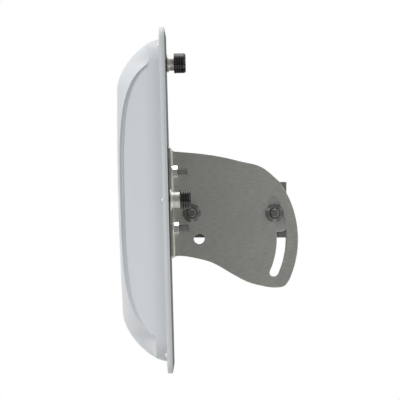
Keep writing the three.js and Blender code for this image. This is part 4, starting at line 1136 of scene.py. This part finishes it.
def arc(centre, radius, start, finish, steps):
    """Points along an arc between two angles in degrees."""
    turns = [math.radians(start + (finish - start) * i / steps) for i in range(steps + 1)]
    return [(centre[0] + radius * math.cos(t), centre[1] + radius * math.sin(t)) for t in turns]


def arc_slot(centre, radius, width, start, finish):
    """The outline of a slot bent along an arc, with round ends."""
    half = width / 2
    first_end, last_end = (arc(centre, radius, degrees, degrees, 1)[0] for degrees in (start, finish))
    return (arc(centre, radius + half, start, finish, ARC_STEPS)
            + arc(last_end, half, finish, finish + 180, END_STEPS)[1:-1]
            + arc(centre, radius - half, finish, start, ARC_STEPS)
            + arc(first_end, half, start + 180, start + 360, END_STEPS)[1:-1])


def plate_blank():
    """The plate before folding, drawn about the pivot: the web, and the foot laid out flat."""
    fold_outer = FOLD_INNER + SHEET
    fold_line = PLATE_ROOT + fold_outer
    fold_length = (FOLD_INNER + SHEET / 2) * math.pi / 2
    foot_edge = fold_line - fold_length - (PLATE_FOOT_EDGE - PLATE_FACE - fold_outer)
    top = [(PLATE_ROOT, PLATE_TOP)] + [(u * BOLT_SPACING, w * PLATE_TOP) for u, w in PLATE_TOP_SHARES]
    foot = [(u * BOLT_SPACING, -w * PLATE_BOTTOM) for u, w in PLATE_BOTTOM_SHARES]
    foot.append((PLATE_ROOT, foot[-1][1] + SEAT))
    end = arc(SPARE_HOLE, PLATE_ARC, *PLATE_ARC_DEGREES, ARC_STEPS)
    upper_curve = curve_through(top + end[:1], CURVE_STEPS)
    lower_curve = curve_through(end[-1:] + foot, 2 * CURVE_STEPS)
    outline = upper_curve[:-1] + end + lower_curve[1:]
    outline = [(x, z) for x, z in outline if x > fold_line + FOLD_CLEAR]
    foot_outline = rounded_rectangle((foot_edge, PLATE_FOOT_BOTTOM), (0, PLATE_FOOT_TOP), FOOT_CORNER)
    sides = [(x, z) for x, z in foot_outline if x < foot_edge + 2 * FOOT_CORNER]
    upper = [(fold_line - fold_length, PLATE_FOOT_TOP)]
    lower = [(fold_line - fold_length, PLATE_FOOT_BOTTOM)]
    stud_at = fold_line - fold_length - (STUD_SIDE - PLATE_FACE - fold_outer)
    holes = [circle(STUD_HOLE, (stud_at, PANEL_ABOVE_PIVOT + z)) for z in (-STUD_SPREAD, STUD_SPREAD)]
    holes += [circle(BOLT_HOLE), circle(SPARE_HOLE_RADIUS, SPARE_HOLE, sides=64)]
    holes += [arc_slot(SPARE_HOLE, BOLT_SPACING, LONG_SLOT, -LONG_SLOT_DEGREES, LONG_SLOT_DEGREES)]
    rim = list(reversed(outline)) + upper + sides + lower
    return [rim] + holes, fold_line, fold_length


def cut_by(mesh, cutter):
    """The mesh with another taken out of it."""
    holder, tool = bpy.data.objects.new("holder", mesh), bpy.data.objects.new("tool", cutter)
    scene.collection.objects.link(holder)
    scene.collection.objects.link(tool)
    modifier = holder.modifiers.new("cut", "BOOLEAN")
    modifier.object = tool
    modifier.solver = "EXACT"
    graph = bpy.context.evaluated_depsgraph_get()
    made = bpy.data.meshes.new_from_object(holder.evaluated_get(graph), depsgraph=graph)
    bpy.data.objects.remove(holder)
    bpy.data.objects.remove(tool)
    return made


def folded(mesh, line, length):
    """Folds the sheet, which lies between two levels of Z, so that what is left of the line
    stands up along Z."""
    outer = FOLD_INNER + SHEET
    b = bmesh.new()
    b.from_mesh(mesh)
    for i in range(FOLD_CUTS + 1):
        cut_at = ((line - length * i / FOLD_CUTS) * MM, 0, 0)
        parts = b.verts[:] + b.edges[:] + b.faces[:]
        bmesh.ops.bisect_plane(
            b, geom=parts, plane_co=cut_at, plane_no=(1, 0, 0), dist=FOLD_CLOSE * MM)
    for vertex in b.verts:
        past = line - vertex.co.x / MM
        if past <= 0:
            continue
        off = vertex.co.z / MM - PLATE_FACE
        turn = min(past / length, 1) * math.pi / 2
        vertex.co.x = (line - (outer - off) * math.sin(turn)) * MM
        vertex.co.z = (PLATE_FACE + outer - (outer - off) * math.cos(turn) + max(past - length, 0)) * MM
    b.to_mesh(mesh)
    b.free()
    return mesh


brushed_stainless = metal(
    "brushed_stainless", (0.63, 0.636, 0.585), 0.36, streak=0.24, scale=1000.0, length=6.0,
    cloud=0.05, relief=0.012)
blank_outlines, fold_line, fold_length = plate_blank()
fine_slot = arc_slot((0, 0), BOLT_SPACING, FINE_SLOT, *FINE_SLOT_DEGREES)
for side, mirror in (("near", Matrix()), ("far", MIRRORED)):
    blank = flat_sheet(blank_outlines, PLATE_FACE, PLATE_FACE + SHEET, SHEET_EDGE)
    cutter = flat_sheet([fine_slot], PLATE_FACE - SHEET, PLATE_FACE + 2 * SHEET, SHEET_EDGE)
    plate = folded(cut_by(blank, cutter), fold_line, fold_length)
    plate = joined([placed(plate, TILTING @ ACROSS_Y @ mirror)], degrees=30)
    place(f"tilt_plate_{side}_folded", plate, brushed_stainless, "panel",
          [f"tilt_plate_{side}"])


# The clamp's two side straps are flat bright-zinc steel bars with rounded corners, held against
# the jaws by the tilt bolts.
STRAP_FACE = 36.3
STRAP_THICK = 3
STRAP_LOW = (-50, -17.5)
STRAP_HIGH = (53.4, 23)
STRAP_CORNER = 5
STRAP_EDGE = 0.45
LOCK_X = 42

strap_zinc = metal(
    "strap_zinc", (0.64, 0.64, 0.635), 0.36, streak=0.06, scale=500.0, length=14.0, cloud=0.16)
strap_outlines = [
    rounded_rectangle(STRAP_LOW, STRAP_HIGH, STRAP_CORNER),
    circle(BOLT_HOLE, (PIVOT_X, 0)),
    circle(BOLT_HOLE, (LOCK_X, 0))]
for side, mirror in (("near", Matrix()), ("far", MIRRORED)):
    strap = flat_sheet(strap_outlines, STRAP_FACE, STRAP_FACE + STRAP_THICK, STRAP_EDGE)
    strap = joined([placed(strap, ACROSS_Y @ mirror)], degrees=30)
    place(f"side_strap_{side}_bar", strap, strap_zinc, "clamp", [f"side_strap_{side}"])


# The two jaws are V blocks in die-cast zinc, drilled for the clamp screws. Their dark colour is
# painted shade for the shadow they stand in behind the straps. Their cast edges are well rounded,
# and the rear one slides on the lock bolt.
JAW_EDGE = 0.9
SHARP = math.radians(25)
FLAT = math.radians(0.5)


def refined(name, edge):
    """A merged copy of a CAD node's mesh with its edges rounded."""
    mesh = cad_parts[name].data.copy()
    b = bmesh.new()
    b.from_mesh(mesh)
    bmesh.ops.remove_doubles(b, verts=b.verts, dist=SKIN_WELD * MM)
    bmesh.ops.dissolve_limit(b, angle_limit=FLAT, verts=b.verts, edges=b.edges)
    sharp = [e for e in b.edges if len(e.link_faces) == 2 and e.calc_face_angle(0) > SHARP]
    bmesh.ops.bevel(
        b, geom=sharp, offset=edge * MM, segments=3, profile=0.5, affect="EDGES", clamp_overlap=True)
    b.to_mesh(mesh)
    b.free()
    if "custom_normal" in mesh.attributes:
        mesh.attributes.remove(mesh.attributes["custom_normal"])
    return mesh


# Painted shade: the jaws' dark base colour stands for the shadow they sit in between the straps.
cast_zinc_painted_shade = moulding(
    "cast_zinc_painted_shade", (0.23, 0.23, 0.225), 0.5, grain=700.0, cloud=0.35, dust=0.15, metallic=0.55, relief=0.08)
for jaw, body in (("front_jaw", "clamp"), ("rear_jaw", "rear_clamp")):
    block = joined([refined(jaw, JAW_EDGE)])
    place(f"{jaw}_cast", block, cast_zinc_painted_shade, body, [jaw])


# Four M6 socket screws draw the two jaws together, two of them on each side of the V. They are
# turned in zinc-plated steel with knurled heads, sunk in the rear jaw, and bite into the front.
CLAMP_END = -40
CLAMP_SEAT = 46.7
CLAMP_HEAD = 5
CLAMP_HEAD_LONG = 6
CLAMP_KEY = 5
CLAMP_KEY_DEEP = 3
CLAMP_SIDE = 29
CLAMP_HEIGHTS = (17, -11)
KNURL_DEEP = 0.14
KNURL_SIDES = 48


def knurl(angle):
    """The radius of the knurled head, a ridge and a groove by turns."""
    return CLAMP_HEAD - KNURL_DEEP * (round(angle / (2 * math.pi) * KNURL_SIDES) % 2)


clamp_zinc = metal(
    "clamp_zinc", (0.5, 0.495, 0.48), 0.3, streak=0.08, scale=1500.0, length=0.3, cloud=0.16)
socket = hexagon(CLAMP_KEY)
clamp_top = CLAMP_SEAT + CLAMP_HEAD_LONG
clamp_rings = [(0, CLAMP_END), (STUD_RADIUS - 2 * BREAK, CLAMP_END)]
clamp_rings += threaded_run(STUD_RADIUS, CLAMP_END + 2 * BREAK, CLAMP_SEAT - BREAK, STUD_PITCH)
clamp_rings += [
    (STUD_RADIUS, CLAMP_SEAT), (CLAMP_HEAD - BREAK, CLAMP_SEAT),
    (CLAMP_HEAD - KNURL_DEEP, CLAMP_SEAT + BREAK), (knurl, CLAMP_SEAT + 2 * BREAK),
    (knurl, clamp_top - 4 * BREAK), (CLAMP_HEAD - KNURL_DEEP, clamp_top - 3 * BREAK),
    (CLAMP_HEAD - BREAK, clamp_top - BREAK), (CLAMP_HEAD - 2 * BREAK, clamp_top),
    (CLAMP_KEY / math.sqrt(3) + BREAK, clamp_top), (socket, clamp_top - BREAK),
    (socket, clamp_top - CLAMP_KEY_DEEP), (0, clamp_top - CLAMP_KEY_DEEP - BREAK)]
clamp_screw = threaded(
    clamp_rings, STUD_PITCH, STUD_THREAD, CLAMP_END + 2 * BREAK, CLAMP_SEAT - 2 * BREAK, clamp_zinc,
    sides=KNURL_SIDES)
clamp_screw.transform(ALONG_X)
clamp_places = [(0, y, z) for y in (-CLAMP_SIDE, CLAMP_SIDE) for z in CLAMP_HEIGHTS]
clamp_screws = copied_at(clamp_screw, clamp_places, Matrix(), clamp_zinc)
place("clamp_screws", joined([clamp_screws]), clamp_zinc, "rear_clamp",
      [f"clamp_screw_{i}" for i in range(1, 5)])


# The tilt bolts are two M8 flange bolts across the whole bracket, heads on the far side, with
# flange nuts on the near side. The panel hangs and turns on the front one; the rear one locks it.
BOLT_RADIUS = 4
BOLT_SEAT = 42.4
BOLT_TIP = 53.9
BOLT_PITCH = 1.25
BOLT_THREAD = 0.42
FLANGE_RADIUS = 8.8
FLANGE_THICK = 1.6
FLANGE_EDGE = 1.35
BOLT_FLATS = 13
HEAD_TOP = 49.5
NUT_TOP = 50.4

# Turns Z to point towards the near side
ALONG_NEAR = Matrix.Rotation(math.pi / 2, 4, "X") @ Matrix.Rotation(math.pi / 2, 4, "Z")

bolt_steel = metal(
    "bolt_steel", (0.25, 0.247, 0.243), 0.34, streak=0.1, scale=1500.0, length=0.3, cloud=0.2)
bolt_hexagon = hexagon(BOLT_FLATS)
bolt_touch = BOLT_FLATS / 2 * CHAMFER_TOUCH
flange_top = BOLT_SEAT + FLANGE_THICK
flange_edge = BOLT_SEAT + FLANGE_EDGE
head_rings = [
    (0, -HEAD_TOP + BREAK), (BOLT_RADIUS, -HEAD_TOP + BREAK), (BOLT_RADIUS + BREAK, -HEAD_TOP),
    (bolt_touch, -HEAD_TOP), (bolt_hexagon, chamfered(BOLT_FLATS, -HEAD_TOP, 1)),
    (bolt_hexagon, -flange_top), (FLANGE_RADIUS - BREAK, -flange_edge), (FLANGE_RADIUS, -flange_edge + BREAK),
    (FLANGE_RADIUS, -BOLT_SEAT - BREAK / 2), (FLANGE_RADIUS - BREAK, -BOLT_SEAT),
    (BOLT_RADIUS, -BOLT_SEAT)]
thread_from = BOLT_TIP - 4 * BOLT_RADIUS
bolt_rings = head_rings + threaded_run(BOLT_RADIUS, thread_from, BOLT_TIP - 2 * BREAK, BOLT_PITCH)
bolt_rings += [(BOLT_RADIUS - 2 * BREAK, BOLT_TIP), (0, BOLT_TIP)]
nut_bore = BOLT_RADIUS + SEAT
nut_rings = [
    (nut_bore + BREAK, BOLT_SEAT), (FLANGE_RADIUS - BREAK, BOLT_SEAT),
    (FLANGE_RADIUS, BOLT_SEAT + BREAK), (FLANGE_RADIUS, flange_edge - BREAK),
    (FLANGE_RADIUS - BREAK, flange_edge), (bolt_hexagon, flange_top),
    (bolt_hexagon, chamfered(BOLT_FLATS, NUT_TOP, -1)), (bolt_touch, NUT_TOP), (nut_bore + BREAK, NUT_TOP),
    (nut_bore, NUT_TOP - BREAK), (nut_bore, BOLT_SEAT + BREAK), (nut_bore + BREAK, BOLT_SEAT)]
for bolt_name, bolt_x in (("pivot", PIVOT_X), ("lock", LOCK_X)):
    across_clamp = Matrix.Translation((bolt_x * MM, 0, 0)) @ ALONG_NEAR
    bolt = threaded(bolt_rings, BOLT_PITCH, BOLT_THREAD, thread_from, BOLT_TIP - 2 * BREAK, bolt_steel)
    bolt.transform(across_clamp)
    place(f"{bolt_name}_flange_bolt", joined([bolt]), bolt_steel, "clamp",
          [f"{bolt_name}_bolt"])
    nut = turned_mesh(nut_rings, across_clamp)
    place(f"{bolt_name}_flange_nut", joined([nut]), bolt_steel, "clamp",
          [f"{bolt_name}_nut"])
